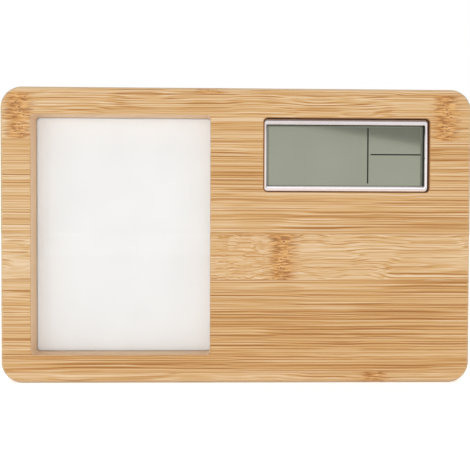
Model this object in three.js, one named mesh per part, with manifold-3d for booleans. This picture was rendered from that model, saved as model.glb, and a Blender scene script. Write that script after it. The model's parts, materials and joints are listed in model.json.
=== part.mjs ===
// A free-standing desk clock: a bamboo block with a photo opening and a small LCD clock module.
// Millimetres. X runs right as seen from the front, Y from front to back, Z up.
// The origin is the middle of the block's bottom face.

import * as THREE from "three";
import { mergeVertices } from "three/addons/utils/BufferGeometryUtils.js";
import Module from "manifold-3d";

const wasm = await Module();
wasm.setup();

// Bamboo block
const BLOCK_CORNER_RADIUS = 9;
const BLOCK_EDGE_ROUND = 1.5;
const FRONT_WALL = 3; // bamboo left in front of the clock module
const REAR_LIP = 2.6; // bamboo left behind the sliding panel's edges
const MIDDLE_RIB = 5.7; // bamboo left between the panel's groove and the cover's rebate

// Clearances
const SEAT_GAP = 0.1; // between faces that rest on each other
const FIT_GAP = 0.3; // around a piece that drops into its place
const SLIDE_GAP = 0.3; // around a piece that slides

// Photo opening and what lies behind it
const OPENING_WIDTH = 75.8;
const OPENING_HEIGHT = 101.8;
const OPENING_RADIUS = 1.4;
const OPENING_LEFT_MARGIN = 12.8;
const OPENING_BOTTOM_MARGIN = 12.1;
const OPENING_TOP_MARGIN = 11.7;
const WINDOW_OVERLAP = 3; // how far the clear window reaches past the opening
const WINDOW_THICKNESS = 0.6;
const CARD_THICKNESS = 0.4;
const BACKING_THICKNESS = 2.9;
const PANEL_THICKNESS = 2.8;
const PANEL_TONGUE = 2; // how far the panel's edges run in their grooves
const PANEL_TOP_INSET = 0.4;
const INSERT_ROOM = 0.8; // spare width that lets the window drop in from behind
const REAR_OPENING_RADIUS = 4;
const THUMB_RADIUS = 9;
const THUMB_DEPTH = 1.2;
const THUMB_TOP_MARGIN = 6;

// Display bezel
const BEZEL_WIDTH = 70;
const BEZEL_HEIGHT = 30.5;
const BEZEL_RADIUS = 1.4;
const BEZEL_EDGE_ROUND = 0.25;
const BEZEL_THICKNESS = 0.9;
const BEZEL_SINK = 1.2; // how far its face lies below the block's face
const BEZEL_GAP = 0.35; // between the bezel and the cut-out in the bamboo
const BEZEL_RAIL = 2.1; // top and bottom rails
const BEZEL_RAIL_SLOPE = 1.3;
const BEZEL_SIDE_RAIL = 1.1;
const BEZEL_SIDE_SLOPE = 0.6;
const BEZEL_LIP = 0.2; // upright inner edge below the slopes
const DISPLAY_RIGHT_MARGIN = 18.4;
const DISPLAY_TOP_MARGIN = 13;

// Liquid crystal panel and its elastomer connectors
const GLASS_THICKNESS = 1.1;
const GLASS_SIDE_MARGIN = 1.6;
const GLASS_LEDGE = 2.4; // front glass past the view, above and below
const GLASS_SEAL = 0.6; // rear glass past the view, above and below
const ZEBRA_HEIGHT = 3.2;
const ZEBRA_SIDE_GAP = 0.2;

// Clock module case and cover
const CASE_WALL = 1.2;
const CASE_FLOOR = 1.2;
const CASE_RADIUS = 2;
const NECK_INSET = 0.4;
const COVER_THICKNESS = 2;
const COVER_INSET = 1; // below the block's back face, so that the buttons don't stand out of it
const COVER_FLANGE = 4.6;
const COVER_RADIUS = 3;
const COVER_EDGE_ROUND = 0.4;

// Circuit board and what sits on it
const BOARD_THICKNESS = 1.2;
const BOSS_RADIUS = 2.2;
const BOSS_BLEND = 0.4; // how far a boss runs into the side wall
const BOARD_SCREW_INSET = 3;
const CHIP_RADIUS = 4.6;
const CHIP_HEIGHT = 1.6;
const CRYSTAL_RADIUS = 1.1;
const CRYSTAL_LENGTH = 6;
const THERMISTOR_RADIUS = 1.3;
const THERMISTOR_HEIGHT = 3.2;
const BUZZER_RADIUS = 6;
const BUZZER_THICKNESS = 0.5;
const SOUND_HOLE_RADIUS = 0.7;
const SOUND_HOLE_CIRCLE = 3;
const SOUND_HOLE_COUNT = 6;
const VENT_WIDTH = 7;
const VENT_HEIGHT = 1.2;
const VENT_PITCH = 2.6;
const VENT_COUNT = 3;
const ROW_SPACING = 11; // between the buttons' row and the row of the vents, alarm switch and buzzer
const UPPER_ROW_MARGIN = 14; // from the board's ends to the vents and to the buzzer
const CHIP_OFFSET = 13; // from the alarm switch to the chip, and the other way to the crystal

// Push buttons, each over a small switch on the board
const BUTTON_RADIUS = 2.6;
const BUTTON_FLANGE = 0.8;
const BUTTON_PROUD = 0.8;
const BUTTON_TRAVEL = 0.6;
const BUTTON_SIDE_MARGIN = 14; // from the board's end to the outer button's middle
const SWITCH_SIZE = 6;
const SWITCH_HEIGHT = 3.4;
const PLUNGER_RADIUS = 1.6;
const PLUNGER_PROUD = 0.6;
const PLUNGER_HELD = 0.8; // how much of the plunger stays in its switch at rest

// Alarm slide switch
const KNOB_LENGTH = 3.2;
const KNOB_WIDTH = 2.8;
const KNOB_PROUD = 0.7;
const KNOB_TRAVEL = 3;
const KNOB_FLANGE = 1.2;
const KNOB_PLATE = 0.8;
const ALARM_BODY_HEIGHT = 3.4;

// Battery, one AAA cell
const CELL_DIAMETER = 10.5;
const CELL_LENGTH = 44.5;
const CELL_NUB_RADIUS = 1.9;
const CELL_NUB_LENGTH = 1.2;
const CELL_ROOM = 0.4;
const CONTACT_THICKNESS = 0.5;
const CONTACT_SIZE = 7;
const CONTACT_TAB_WIDTH = 3;
const CONTACT_TAB_REACH = 3; // how far the solder tab overlaps the board's lower edge
const SPRING_LENGTH = 5;
const SPRING_TURNS = 3;
const SPRING_WIRE = 0.7;
const SPRING_BASE_RADIUS = 3.1;
const SPRING_TIP_RADIUS = 2;

// Battery door
const DOOR_LAND = 0.8; // how far the door rests on the case's walls
const HOOK_REACH = 1.6;
const HOOK_THICKNESS = 1;
const HOOK_WIDTH = 2.4;
const HOOK_POST = 1.4;
const GRIP_RIB_COUNT = 4;
const GRIP_RIB_PITCH = 1.8;
const GRIP_RIB_WIDTH = 0.8;
const GRIP_RIB_DEPTH = 0.5;
const NAIL_NOTCH_RADIUS = 4;
const NAIL_NOTCH_DEPTH = 1.2;

// Screws
const COVER_SCREW_RADIUS = 1;
const COVER_SCREW_LENGTH = 8;
const COVER_SCREW_HEAD_RADIUS = 1.8;
const COVER_SCREW_HEAD_HEIGHT = 1.2;
const BOARD_SCREW_RADIUS = 0.8;
const BOARD_SCREW_LENGTH = 3;
const BOARD_SCREW_HEAD_RADIUS = 1.6;
const BOARD_SCREW_HEAD_HEIGHT = 1;
const SCREW_SLOT_WIDTH = 0.5;
const SCREW_SLOT_DEPTH = 0.6;

// Facets
const ARC_STEPS = 4;
const SMALL_ARC_STEPS = 2;
const SMALL_ARC_RADIUS = 3; // arcs up to this radius get the smaller number of steps
const ROUND_SIDES = 20;
const SMALL_SIDES = 10;
const BEVEL_STEPS = 3;
const MERGE_DISTANCE = 1e-4;
const OVERCUT = 1; // how far a cutting tool runs past the face that it opens

// The block is as deep as the battery and what encloses it need.
const blockDepth =
  FRONT_WALL + SEAT_GAP + CASE_FLOOR + CELL_ROOM + CELL_DIAMETER + CELL_ROOM + COVER_THICKNESS + COVER_INSET;
const frontFace = -blockDepth / 2;
const backFace = blockDepth / 2;

// Depths of the photo stack, from the back forwards
const panelBack = backFace - REAR_LIP - SLIDE_GAP;
const panelFront = panelBack - PANEL_THICKNESS;
const backingBack = panelFront - SLIDE_GAP;
const backingFront = backingBack - BACKING_THICKNESS;
const cardBack = backingFront - SEAT_GAP;
const cardFront = cardBack - CARD_THICKNESS;
const windowBack = cardFront - SEAT_GAP;
const windowFront = windowBack - WINDOW_THICKNESS;
const lipBack = windowFront - SEAT_GAP;

// Places and sizes of the photo stack, seen from the front
const blockHeight = OPENING_BOTTOM_MARGIN + OPENING_HEIGHT + OPENING_TOP_MARGIN;
const photoZ = OPENING_BOTTOM_MARGIN + OPENING_HEIGHT / 2;
const windowWidth = OPENING_WIDTH + 2 * WINDOW_OVERLAP;
const windowHeight = OPENING_HEIGHT + 2 * WINDOW_OVERLAP;
const panelOverlap = WINDOW_OVERLAP + FIT_GAP + INSERT_ROOM + PANEL_TONGUE;
const panelWidth = OPENING_WIDTH + 2 * panelOverlap;
const panelBottom = OPENING_BOTTOM_MARGIN - panelOverlap;
const panelTop = blockHeight - PANEL_TOP_INSET;

// Depths of the display and the clock module, from the front backwards
const bezelFront = frontFace + BEZEL_SINK;
const bezelBack = bezelFront + BEZEL_THICKNESS;
const pocketFloor = frontFace + FRONT_WALL;
const caseFront = pocketFloor + SEAT_GAP;
const caseFloorBack = caseFront + CASE_FLOOR;
const glassFront = caseFloorBack + SEAT_GAP;
const glassLedge = glassFront + GLASS_THICKNESS;
const glassBack = glassLedge + GLASS_THICKNESS;
const zebraFront = glassLedge + SEAT_GAP;
const zebraBack = zebraFront + ZEBRA_HEIGHT;
const boardFront = zebraBack + SEAT_GAP;
const boardBack = boardFront + BOARD_THICKNESS;
const partsFront = boardBack + SEAT_GAP;
const coverBack = backFace - COVER_INSET;
const coverFront = coverBack - COVER_THICKNESS;
const caseBack = coverFront - SEAT_GAP;
const rebateFloor = coverFront - SEAT_GAP;

// The module's sizes about the display's middle
const displayZ = blockHeight - DISPLAY_TOP_MARGIN - BEZEL_HEIGHT / 2;
const viewWidth = BEZEL_WIDTH - 2 * BEZEL_SIDE_RAIL;
const viewHeight = BEZEL_HEIGHT - 2 * BEZEL_RAIL;
const glassWidth = viewWidth + 2 * GLASS_SIDE_MARGIN;
const frontGlassHeight = viewHeight + 2 * GLASS_LEDGE;
const rearGlassHeight = viewHeight + 2 * GLASS_SEAL;
const bossX = glassWidth / 2 + FIT_GAP + BOSS_RADIUS;
const chamberHalfWidth = bossX + BOSS_RADIUS - BOSS_BLEND;
const chamberHalfHeight = frontGlassHeight / 2 + FIT_GAP;
const boardWidth = 2 * (chamberHalfWidth - FIT_GAP);
const boardHeight = frontGlassHeight;
const bossZ = boardHeight / 2 - BOARD_SCREW_INSET;

// The battery bay lies below the display chamber.
const cellY = caseFloorBack + CELL_ROOM + CELL_DIAMETER / 2;
const bayTop = -chamberHalfHeight - CASE_WALL;
const bayHeight = CELL_DIAMETER + 2 * CELL_ROOM;
const cellZ = bayTop - bayHeight / 2;
const bayBottom = bayTop - bayHeight;
const bayLength = 2 * (CONTACT_THICKNESS + 2 * SEAT_GAP) + SPRING_LENGTH + SEAT_GAP + CELL_LENGTH;
const bayLeft = -bayLength / 2;
const bayRight = bayLength / 2;
const springStart = bayLeft + SEAT_GAP + CONTACT_THICKNESS + SEAT_GAP;
const cellStart = springStart + SPRING_LENGTH + SEAT_GAP;

// Outlines of the case and the cover
const caseWidth = 2 * (chamberHalfWidth + CASE_WALL);
const caseTop = chamberHalfHeight + CASE_WALL;
const caseBottom = bayBottom - CASE_WALL;
const caseHeight = caseTop - caseBottom;
const caseMiddle = (caseTop + caseBottom) / 2;
const coverWidth = caseWidth + 2 * COVER_FLANGE;
const coverHeight = caseHeight + 2 * COVER_FLANGE;
const coverScrewX = caseWidth / 2 + COVER_FLANGE / 2;
const coverScrewZ = caseHeight / 2 + COVER_FLANGE / 2;

// The block is as wide as the photo stack and the clock module, side by side, need.
const photoToDisplay =
  OPENING_WIDTH / 2 + panelOverlap + SLIDE_GAP + MIDDLE_RIB + FIT_GAP + coverWidth / 2;
const photoFromLeft = OPENING_LEFT_MARGIN + OPENING_WIDTH / 2;
const displayFromRight = DISPLAY_RIGHT_MARGIN + BEZEL_WIDTH / 2;
const blockWidth = photoFromLeft + photoToDisplay + displayFromRight;
const photoX = -blockWidth / 2 + photoFromLeft;
const displayX = blockWidth / 2 - displayFromRight;

// Places of the controls and the parts on the board, about the display's middle
const buttonNames = ["mode", "set", "up", "down"];
const buttonRowHalf = boardWidth / 2 - BUTTON_SIDE_MARGIN;
const buttonRowZ = -ROW_SPACING / 2;
const upperRowZ = ROW_SPACING / 2;
const buzzerX = boardWidth / 2 - UPPER_ROW_MARGIN;
const thermistorX = -buzzerX;

// Materials
const bamboo = new THREE.MeshStandardMaterial({ color: 0xd9ab70, roughness: 0.5, metalness: 0 });
const clearGlass = new THREE.MeshStandardMaterial({
  color: 0xf4f6f6,
  roughness: 0.05,
  metalness: 0,
  transparent: true,
  opacity: 0.3,
});
const whiteCard = new THREE.MeshStandardMaterial({ color: 0xf3f1ef, roughness: 0.8, metalness: 0 });
const greyBoard = new THREE.MeshStandardMaterial({ color: 0x9a8f80, roughness: 0.95, metalness: 0 });
const chrome = new THREE.MeshStandardMaterial({ color: 0xdad8d6, roughness: 0.12, metalness: 1 });
const blackPlastic = new THREE.MeshStandardMaterial({ color: 0x161718, roughness: 0.5, metalness: 0 });
const greyPlastic = new THREE.MeshStandardMaterial({ color: 0x3a3c3e, roughness: 0.55, metalness: 0 });
const displayGlass = new THREE.MeshStandardMaterial({ color: 0x979a86, roughness: 0.2, metalness: 0 });
const elastomer = new THREE.MeshStandardMaterial({ color: 0xcf9fa2, roughness: 0.8, metalness: 0 });
const boardGreen = new THREE.MeshStandardMaterial({ color: 0x2c6a3c, roughness: 0.5, metalness: 0 });
const epoxy = new THREE.MeshStandardMaterial({ color: 0x0d0d0e, roughness: 0.35, metalness: 0 });
const steel = new THREE.MeshStandardMaterial({ color: 0xb4b6b8, roughness: 0.3, metalness: 1 });
const brass = new THREE.MeshStandardMaterial({ color: 0xc9a54e, roughness: 0.35, metalness: 1 });
const cellSleeve = new THREE.MeshStandardMaterial({ color: 0x3d6b86, roughness: 0.4, metalness: 0.2 });

// A closed geometry as a solid that can be cut and joined.
function toSolid(geometry) {
  const bare = geometry.clone();
  bare.deleteAttribute("normal");
  bare.deleteAttribute("uv");
  const merged = mergeVertices(bare, MERGE_DISTANCE);
  const mesh = new wasm.Mesh({
    numProp: 3,
    vertProperties: merged.attributes.position.array,
    triVerts: new Uint32Array(merged.index.array),
  });
  return new wasm.Manifold(mesh);
}

// A solid as a geometry.
function toGeometry(solid) {
  const mesh = solid.getMesh();
  const geometry = new THREE.BufferGeometry();
  geometry.setAttribute("position", new THREE.BufferAttribute(mesh.vertProperties, mesh.numProp));
  geometry.setIndex(new THREE.BufferAttribute(mesh.triVerts, 1));
  return geometry;
}

function cut(geometry, tools) {
  return toGeometry(tools.reduce((solid, tool) => solid.subtract(toSolid(tool)), toSolid(geometry)));
}

function join(geometry, others) {
  return toGeometry(others.reduce((solid, other) => solid.add(toSolid(other)), toSolid(geometry)));
}

// A rounded rectangle about the origin.
function roundedRectangle(width, height, radius) {
  const right = width / 2 - radius;
  const top = height / 2 - radius;
  const shape = new THREE.Shape();
  shape.absarc(right, top, radius, 0, Math.PI / 2);
  shape.absarc(-right, top, radius, Math.PI / 2, Math.PI);
  shape.absarc(-right, -top, radius, Math.PI, 1.5 * Math.PI);
  shape.absarc(right, -top, radius, 1.5 * Math.PI, 2 * Math.PI);
  shape.closePath();
  return shape;
}

function arcSteps(radius) {
  return radius > SMALL_ARC_RADIUS ? ARC_STEPS : SMALL_ARC_STEPS;
}

// A rounded rectangle seen from the front, from depth front to depth back.
function slab(width, height, radius, front, back, x = 0, z = 0) {
  const settings = { depth: back - front, bevelEnabled: false, curveSegments: arcSteps(radius) };
  const geometry = new THREE.ExtrudeGeometry(roundedRectangle(width, height, radius), settings);
  return geometry.rotateX(Math.PI / 2).translate(x, back, z);
}

// The same with its front and back edges rounded over.
function roundedSlab(width, height, radius, edge, front, back, x = 0, z = 0) {
  const settings = {
    depth: back - front - 2 * edge,
    bevelSize: edge,
    bevelThickness: edge,
    bevelOffset: -edge,
    bevelSegments: BEVEL_STEPS,
    curveSegments: arcSteps(radius),
  };
  const geometry = new THREE.ExtrudeGeometry(roundedRectangle(width, height, radius), settings);
  return geometry.rotateX(Math.PI / 2).translate(x, back - edge, z);
}

// A box given by its lowest and highest corners.
function box(left, right, front, back, bottom, top) {
  const geometry = new THREE.BoxGeometry(right - left, back - front, top - bottom);
  return geometry.translate((left + right) / 2, (front + back) / 2, (bottom + top) / 2);
}

// A box whose width and height change from its front to its back.
function taperedBox(frontWidth, frontHeight, backWidth, backHeight, front, back) {
  const geometry = new THREE.BoxGeometry(1, back - front, 1);
  const position = geometry.attributes.position;
  for (let i = 0; i < position.count; i += 1) {
    const atFront = position.getY(i) < 0;
    position.setX(i, position.getX(i) * (atFront ? frontWidth : backWidth));
    position.setZ(i, position.getZ(i) * (atFront ? frontHeight : backHeight));
  }
  return geometry.translate(0, (front + back) / 2, 0);
}

// A round bar along Y, from depth front to depth back.
function bar(radius, front, back, x = 0, z = 0, sides = ROUND_SIDES) {
  const geometry = new THREE.CylinderGeometry(radius, radius, back - front, sides);
  return geometry.translate(x, (front + back) / 2, z);
}

function makeMesh(name, geometry, material, x = 0, y = 0, z = 0) {
  const mesh = new THREE.Mesh(geometry, material.clone());
  mesh.name = name;
  mesh.position.set(x, y, z);
  return mesh;
}

// The four corners at the given half distances.
function corners(halfX, halfZ) {
  return [
    [-halfX, halfZ],
    [halfX, halfZ],
    [-halfX, -halfZ],
    [halfX, -halfZ],
  ];
}

// Bamboo block

// The photo opening, the window's pocket behind it, and the panel's grooves, open at the top.
function photoCuts() {
  const grooveHalf = panelWidth / 2 + SLIDE_GAP;
  const rearHalf = panelWidth / 2 - PANEL_TONGUE;
  const rearBottom = panelBottom + PANEL_TONGUE;
  const grooveFront = backingBack;
  const grooveBack = panelBack + SLIDE_GAP;
  const sky = blockHeight + OVERCUT;
  const rearTop = sky + REAR_OPENING_RADIUS;
  return [
    slab(
      OPENING_WIDTH,
      OPENING_HEIGHT,
      OPENING_RADIUS,
      frontFace - OVERCUT,
      lipBack + OVERCUT,
      photoX,
      photoZ,
    ),
    slab(
      windowWidth + 2 * FIT_GAP,
      windowHeight + 2 * FIT_GAP,
      OPENING_RADIUS,
      lipBack,
      grooveFront + OVERCUT,
      photoX,
      photoZ,
    ),
    box(photoX - grooveHalf, photoX + grooveHalf, grooveFront, grooveBack, panelBottom - SLIDE_GAP, sky),
    slab(
      2 * rearHalf,
      rearTop - rearBottom,
      REAR_OPENING_RADIUS,
      grooveFront + OVERCUT,
      backFace + OVERCUT,
      photoX,
      (rearTop + rearBottom) / 2,
    ),
  ];
}

// The bezel's cut-out, the module's pocket, the cover's rebate and the screws' pilot holes.
function clockCuts() {
  const middle = displayZ + caseMiddle;
  const pilotBack = coverBack - COVER_SCREW_HEAD_HEIGHT;
  const pilots = corners(coverScrewX, coverScrewZ).map(([x, z]) =>
    bar(
      COVER_SCREW_RADIUS + SEAT_GAP,
      pilotBack - COVER_SCREW_LENGTH - FIT_GAP,
      rebateFloor + OVERCUT,
      displayX + x,
      middle + z,
      SMALL_SIDES,
    ),
  );
  return [
    slab(
      BEZEL_WIDTH + 2 * BEZEL_GAP,
      BEZEL_HEIGHT + 2 * BEZEL_GAP,
      BEZEL_RADIUS + BEZEL_GAP,
      frontFace - OVERCUT,
      pocketFloor + OVERCUT,
      displayX,
      displayZ,
    ),
    slab(
      caseWidth + 2 * FIT_GAP,
      caseHeight + 2 * FIT_GAP,
      CASE_RADIUS + FIT_GAP,
      pocketFloor,
      rebateFloor + OVERCUT,
      displayX,
      middle,
    ),
    slab(
      coverWidth + 2 * FIT_GAP,
      coverHeight + 2 * FIT_GAP,
      COVER_RADIUS + FIT_GAP,
      rebateFloor,
      backFace + OVERCUT,
      displayX,
      middle,
    ),
    ...pilots,
  ];
}

function makeBlock() {
  const body = roundedSlab(
    blockWidth,
    blockHeight,
    BLOCK_CORNER_RADIUS,
    BLOCK_EDGE_ROUND,
    frontFace,
    backFace,
    0,
    blockHeight / 2,
  );
  return makeMesh("bamboo_block", cut(body, [...photoCuts(), ...clockCuts()]), bamboo);
}

// Photo stack

function makeSheet(name, front, back, material) {
  return makeMesh(name, slab(windowWidth, windowHeight, OPENING_RADIUS, front, back), material);
}

// The panel slides up out of the block, pulled by its thumb dish.
function makePanel() {
  const bottom = panelBottom - photoZ;
  const top = panelTop - photoZ;
  const board = box(-panelWidth / 2, panelWidth / 2, panelFront, panelBack, bottom, top);
  const dishZ = top - THUMB_TOP_MARGIN - THUMB_RADIUS;
  const dish = bar(THUMB_RADIUS, panelBack - THUMB_DEPTH, panelBack + OVERCUT, 0, dishZ, 2 * ROUND_SIDES);
  return makeMesh("photo_back_panel", cut(board, [dish]), bamboo);
}

function makePhotoStack() {
  const group = new THREE.Group();
  group.position.set(photoX, 0, photoZ);
  group.add(
    makeSheet("photo_window", windowFront, windowBack, clearGlass),
    makeSheet("photo_card", cardFront, cardBack, whiteCard),
    makeSheet("backing_board", backingFront, backingBack, greyBoard),
    makePanel(),
  );
  return group;
}

// Display

// A plated frame whose inner sides slope down to the view.
function makeBezel() {
  const frame = roundedSlab(BEZEL_WIDTH, BEZEL_HEIGHT, BEZEL_RADIUS, BEZEL_EDGE_ROUND, bezelFront, bezelBack);
  const slopeBack = bezelBack - BEZEL_LIP;
  const slope = taperedBox(
    viewWidth + 2 * BEZEL_SIDE_SLOPE,
    viewHeight + 2 * BEZEL_RAIL_SLOPE,
    viewWidth,
    viewHeight,
    bezelFront,
    slopeBack,
  );
  const mouth = box(
    -viewWidth / 2 - BEZEL_SIDE_SLOPE,
    viewWidth / 2 + BEZEL_SIDE_SLOPE,
    bezelFront - OVERCUT,
    bezelFront,
    -viewHeight / 2 - BEZEL_RAIL_SLOPE,
    viewHeight / 2 + BEZEL_RAIL_SLOPE,
  );
  const view = box(
    -viewWidth / 2,
    viewWidth / 2,
    bezelFront - OVERCUT,
    bezelBack + OVERCUT,
    -viewHeight / 2,
    viewHeight / 2,
  );
  return makeMesh("display_bezel", cut(frame, [join(slope, [mouth, view])]), chrome);
}

// Two bonded glasses; the front one is taller and its ledges carry the contacts.
function makeGlass() {
  const half = glassWidth / 2;
  const frontGlass = box(-half, half, glassFront, glassLedge, -frontGlassHeight / 2, frontGlassHeight / 2);
  const rearGlass = box(-half, half, glassFront, glassBack, -rearGlassHeight / 2, rearGlassHeight / 2);
  return makeMesh("lcd_panel", join(frontGlass, [rearGlass]), displayGlass);
}

// Elastomer strips between the glass ledges and the circuit board.
function makeZebras() {
  const inner = rearGlassHeight / 2 + ZEBRA_SIDE_GAP;
  const outer = frontGlassHeight / 2 - ZEBRA_SIDE_GAP;
  const half = viewWidth / 2;
  return [
    makeMesh("zebra_strip_upper", box(-half, half, zebraFront, zebraBack, inner, outer), elastomer),
    makeMesh("zebra_strip_lower", box(-half, half, zebraFront, zebraBack, -outer, -inner), elastomer),
  ];
}

// Clock module case

// Notches in the bay's end wall where the door's hooks turn.
function hookNotches() {
  const doorEnd = bayLeft - DOOR_LAND;
  const sweep = Math.hypot(HOOK_REACH, COVER_THICKNESS + SEAT_GAP + HOOK_THICKNESS);
  return hookPlaces().map((z) =>
    box(
      doorEnd - HOOK_REACH - FIT_GAP,
      bayLeft + FIT_GAP,
      coverBack - sweep - FIT_GAP,
      caseBack + OVERCUT,
      z - HOOK_WIDTH / 2 - FIT_GAP,
      z + HOOK_WIDTH / 2 + FIT_GAP,
    ),
  );
}

function hookPlaces() {
  const reach = bayHeight / 2 - FIT_GAP - HOOK_WIDTH / 2;
  return [cellZ - reach, cellZ + reach];
}

// Slots in the wall between the bay and the display chamber for the contacts' solder tabs.
function tabSlots() {
  return contactPlaces().map((x) =>
    box(
      x - CONTACT_THICKNESS / 2 - FIT_GAP,
      x + CONTACT_THICKNESS / 2 + FIT_GAP,
      tabFront() - FIT_GAP,
      caseBack + OVERCUT,
      bayTop - OVERCUT,
      -chamberHalfHeight + OVERCUT,
    ),
  );
}

function contactPlaces() {
  const inset = SEAT_GAP + CONTACT_THICKNESS / 2;
  return [bayLeft + inset, bayRight - inset];
}

function tabFront() {
  return boardBack + FIT_GAP;
}

function makeCase() {
  const back = caseBack + OVERCUT;
  const shell = slab(caseWidth, caseHeight, CASE_RADIUS, caseFront, caseBack, 0, caseMiddle);
  const neck = box(
    -BEZEL_WIDTH / 2 + NECK_INSET,
    BEZEL_WIDTH / 2 - NECK_INSET,
    bezelBack + SEAT_GAP,
    caseFloorBack,
    -BEZEL_HEIGHT / 2 + NECK_INSET,
    BEZEL_HEIGHT / 2 - NECK_INSET,
  );
  const hollows = [
    box(-chamberHalfWidth, chamberHalfWidth, caseFloorBack, back, -chamberHalfHeight, chamberHalfHeight),
    box(bayLeft, bayRight, caseFloorBack, back, bayBottom, bayTop),
    box(-chamberHalfWidth, bayLeft - CASE_WALL, caseFloorBack, back, bayBottom, bayTop),
    box(bayRight + CASE_WALL, chamberHalfWidth, caseFloorBack, back, bayBottom, bayTop),
    box(
      -viewWidth / 2,
      viewWidth / 2,
      frontFace - OVERCUT,
      caseFloorBack + OVERCUT,
      -viewHeight / 2,
      viewHeight / 2,
    ),
  ];
  const places = corners(bossX, bossZ);
  const bosses = places.map(([x, z]) => bar(BOSS_RADIUS, caseFront, boardFront - SEAT_GAP, x, z));
  const pilots = places.map(([x, z]) =>
    bar(BOARD_SCREW_RADIUS + SEAT_GAP, caseFloorBack, boardFront, x, z, SMALL_SIDES),
  );
  const hollow = cut(join(shell, [neck]), [...hollows, ...hookNotches(), ...tabSlots()]);
  return makeMesh("module_case", cut(join(hollow, bosses), pilots), blackPlastic);
}

// Circuit board and its parts

function makeBoard() {
  const half = boardWidth / 2;
  const board = box(-half, half, boardFront, boardBack, -boardHeight / 2, boardHeight / 2);
  const holes = corners(bossX, bossZ).map(([x, z]) =>
    bar(BOARD_SCREW_RADIUS + SEAT_GAP, boardFront - OVERCUT, boardBack + OVERCUT, x, z, SMALL_SIDES),
  );
  return makeMesh("circuit_board", cut(board, holes), boardGreen);
}

// A low dome of epoxy over the clock's bare chip.
function makeChip() {
  const profile = [new THREE.Vector2(0, 0), new THREE.Vector2(CHIP_RADIUS, 0)];
  const steps = 5;
  for (let i = 1; i < steps; i += 1) {
    const angle = (i / steps) * (Math.PI / 2);
    profile.push(new THREE.Vector2(CHIP_RADIUS * Math.cos(angle), CHIP_HEIGHT * Math.sin(angle)));
  }
  profile.push(new THREE.Vector2(0, CHIP_HEIGHT));
  const geometry = new THREE.LatheGeometry(profile, ROUND_SIDES);
  return makeMesh("clock_chip", geometry, epoxy, -CHIP_OFFSET, partsFront, upperRowZ);
}

function makeCrystal() {
  const can = new THREE.CylinderGeometry(CRYSTAL_RADIUS, CRYSTAL_RADIUS, CRYSTAL_LENGTH, SMALL_SIDES);
  can.rotateZ(Math.PI / 2);
  return makeMesh("quartz_crystal", can, steel, CHIP_OFFSET, partsFront + CRYSTAL_RADIUS, upperRowZ);
}

function makeThermistor() {
  const bead = bar(THERMISTOR_RADIUS, 0, THERMISTOR_HEIGHT, 0, 0, SMALL_SIDES);
  return makeMesh("thermistor", bead, epoxy, thermistorX, partsFront, upperRowZ);
}

function makeBuzzer() {
  const disc = bar(BUZZER_RADIUS, -BUZZER_THICKNESS, 0);
  return makeMesh("buzzer_disc", disc, brass, buzzerX, coverFront - SEAT_GAP, upperRowZ);
}

// Push buttons

const switchTop = partsFront + SWITCH_HEIGHT;
const plungerTip = switchTop + PLUNGER_PROUD;
const buttonPlaces = buttonNames.map((name, i) => {
  const share = (2 * i) / (buttonNames.length - 1) - 1;
  return [name, share * buttonRowHalf];
});

// One button: a switch body on the board, its plunger, and the cap that reaches through the cover.
function makeButton(name, x) {
  const group = new THREE.Group();
  group.position.set(x, 0, buttonRowZ);
  const half = SWITCH_SIZE / 2;
  const well = bar(
    PLUNGER_RADIUS + FIT_GAP,
    switchTop - PLUNGER_HELD - BUTTON_TRAVEL - FIT_GAP,
    switchTop + OVERCUT,
    0,
    0,
    SMALL_SIDES,
  );
  const body = cut(box(-half, half, partsFront, switchTop, -half, half), [well]);
  const plunger = bar(PLUNGER_RADIUS, switchTop - PLUNGER_HELD, plungerTip, 0, 0, SMALL_SIDES);
  const flange = bar(BUTTON_RADIUS + BUTTON_FLANGE, plungerTip + SEAT_GAP, coverFront - SEAT_GAP);
  const cap = bar(BUTTON_RADIUS, plungerTip + SEAT_GAP, coverBack + BUTTON_PROUD);
  group.add(
    makeMesh(`${name}_switch`, body, blackPlastic),
    makeMesh(`${name}_plunger`, plunger, greyPlastic),
    makeMesh(`${name}_button`, join(flange, [cap]), greyPlastic),
  );
  return group;
}

// Alarm slide switch

const alarmTop = partsFront + ALARM_BODY_HEIGHT;
const knobSlotLength = KNOB_LENGTH + KNOB_TRAVEL + 2 * SLIDE_GAP;
const knobSlotWidth = KNOB_WIDTH + 2 * SLIDE_GAP;
const knobPlateLength = knobSlotLength + KNOB_TRAVEL + 2 * KNOB_FLANGE;
const knobPlateWidth = knobSlotWidth + 2 * KNOB_FLANGE;

// The knob rests at the left end of its slot, where the alarm is off.
function makeAlarmSwitch() {
  const group = new THREE.Group();
  group.position.set(0, 0, upperRowZ);
  const body = slab(knobSlotLength, knobPlateWidth, SLIDE_GAP, partsFront, alarmTop);
  const plateBack = coverFront - SEAT_GAP;
  const plate = slab(knobPlateLength, knobPlateWidth, SLIDE_GAP, plateBack - KNOB_PLATE, plateBack);
  const round = KNOB_WIDTH / 2 - SEAT_GAP;
  const knob = slab(KNOB_LENGTH, KNOB_WIDTH, round, alarmTop + SEAT_GAP, coverBack + KNOB_PROUD);
  group.add(
    makeMesh("alarm_switch_body", body, blackPlastic),
    makeMesh("alarm_knob", join(plate, [knob]), greyPlastic, -KNOB_TRAVEL / 2),
  );
  return group;
}

// Rear cover

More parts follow.
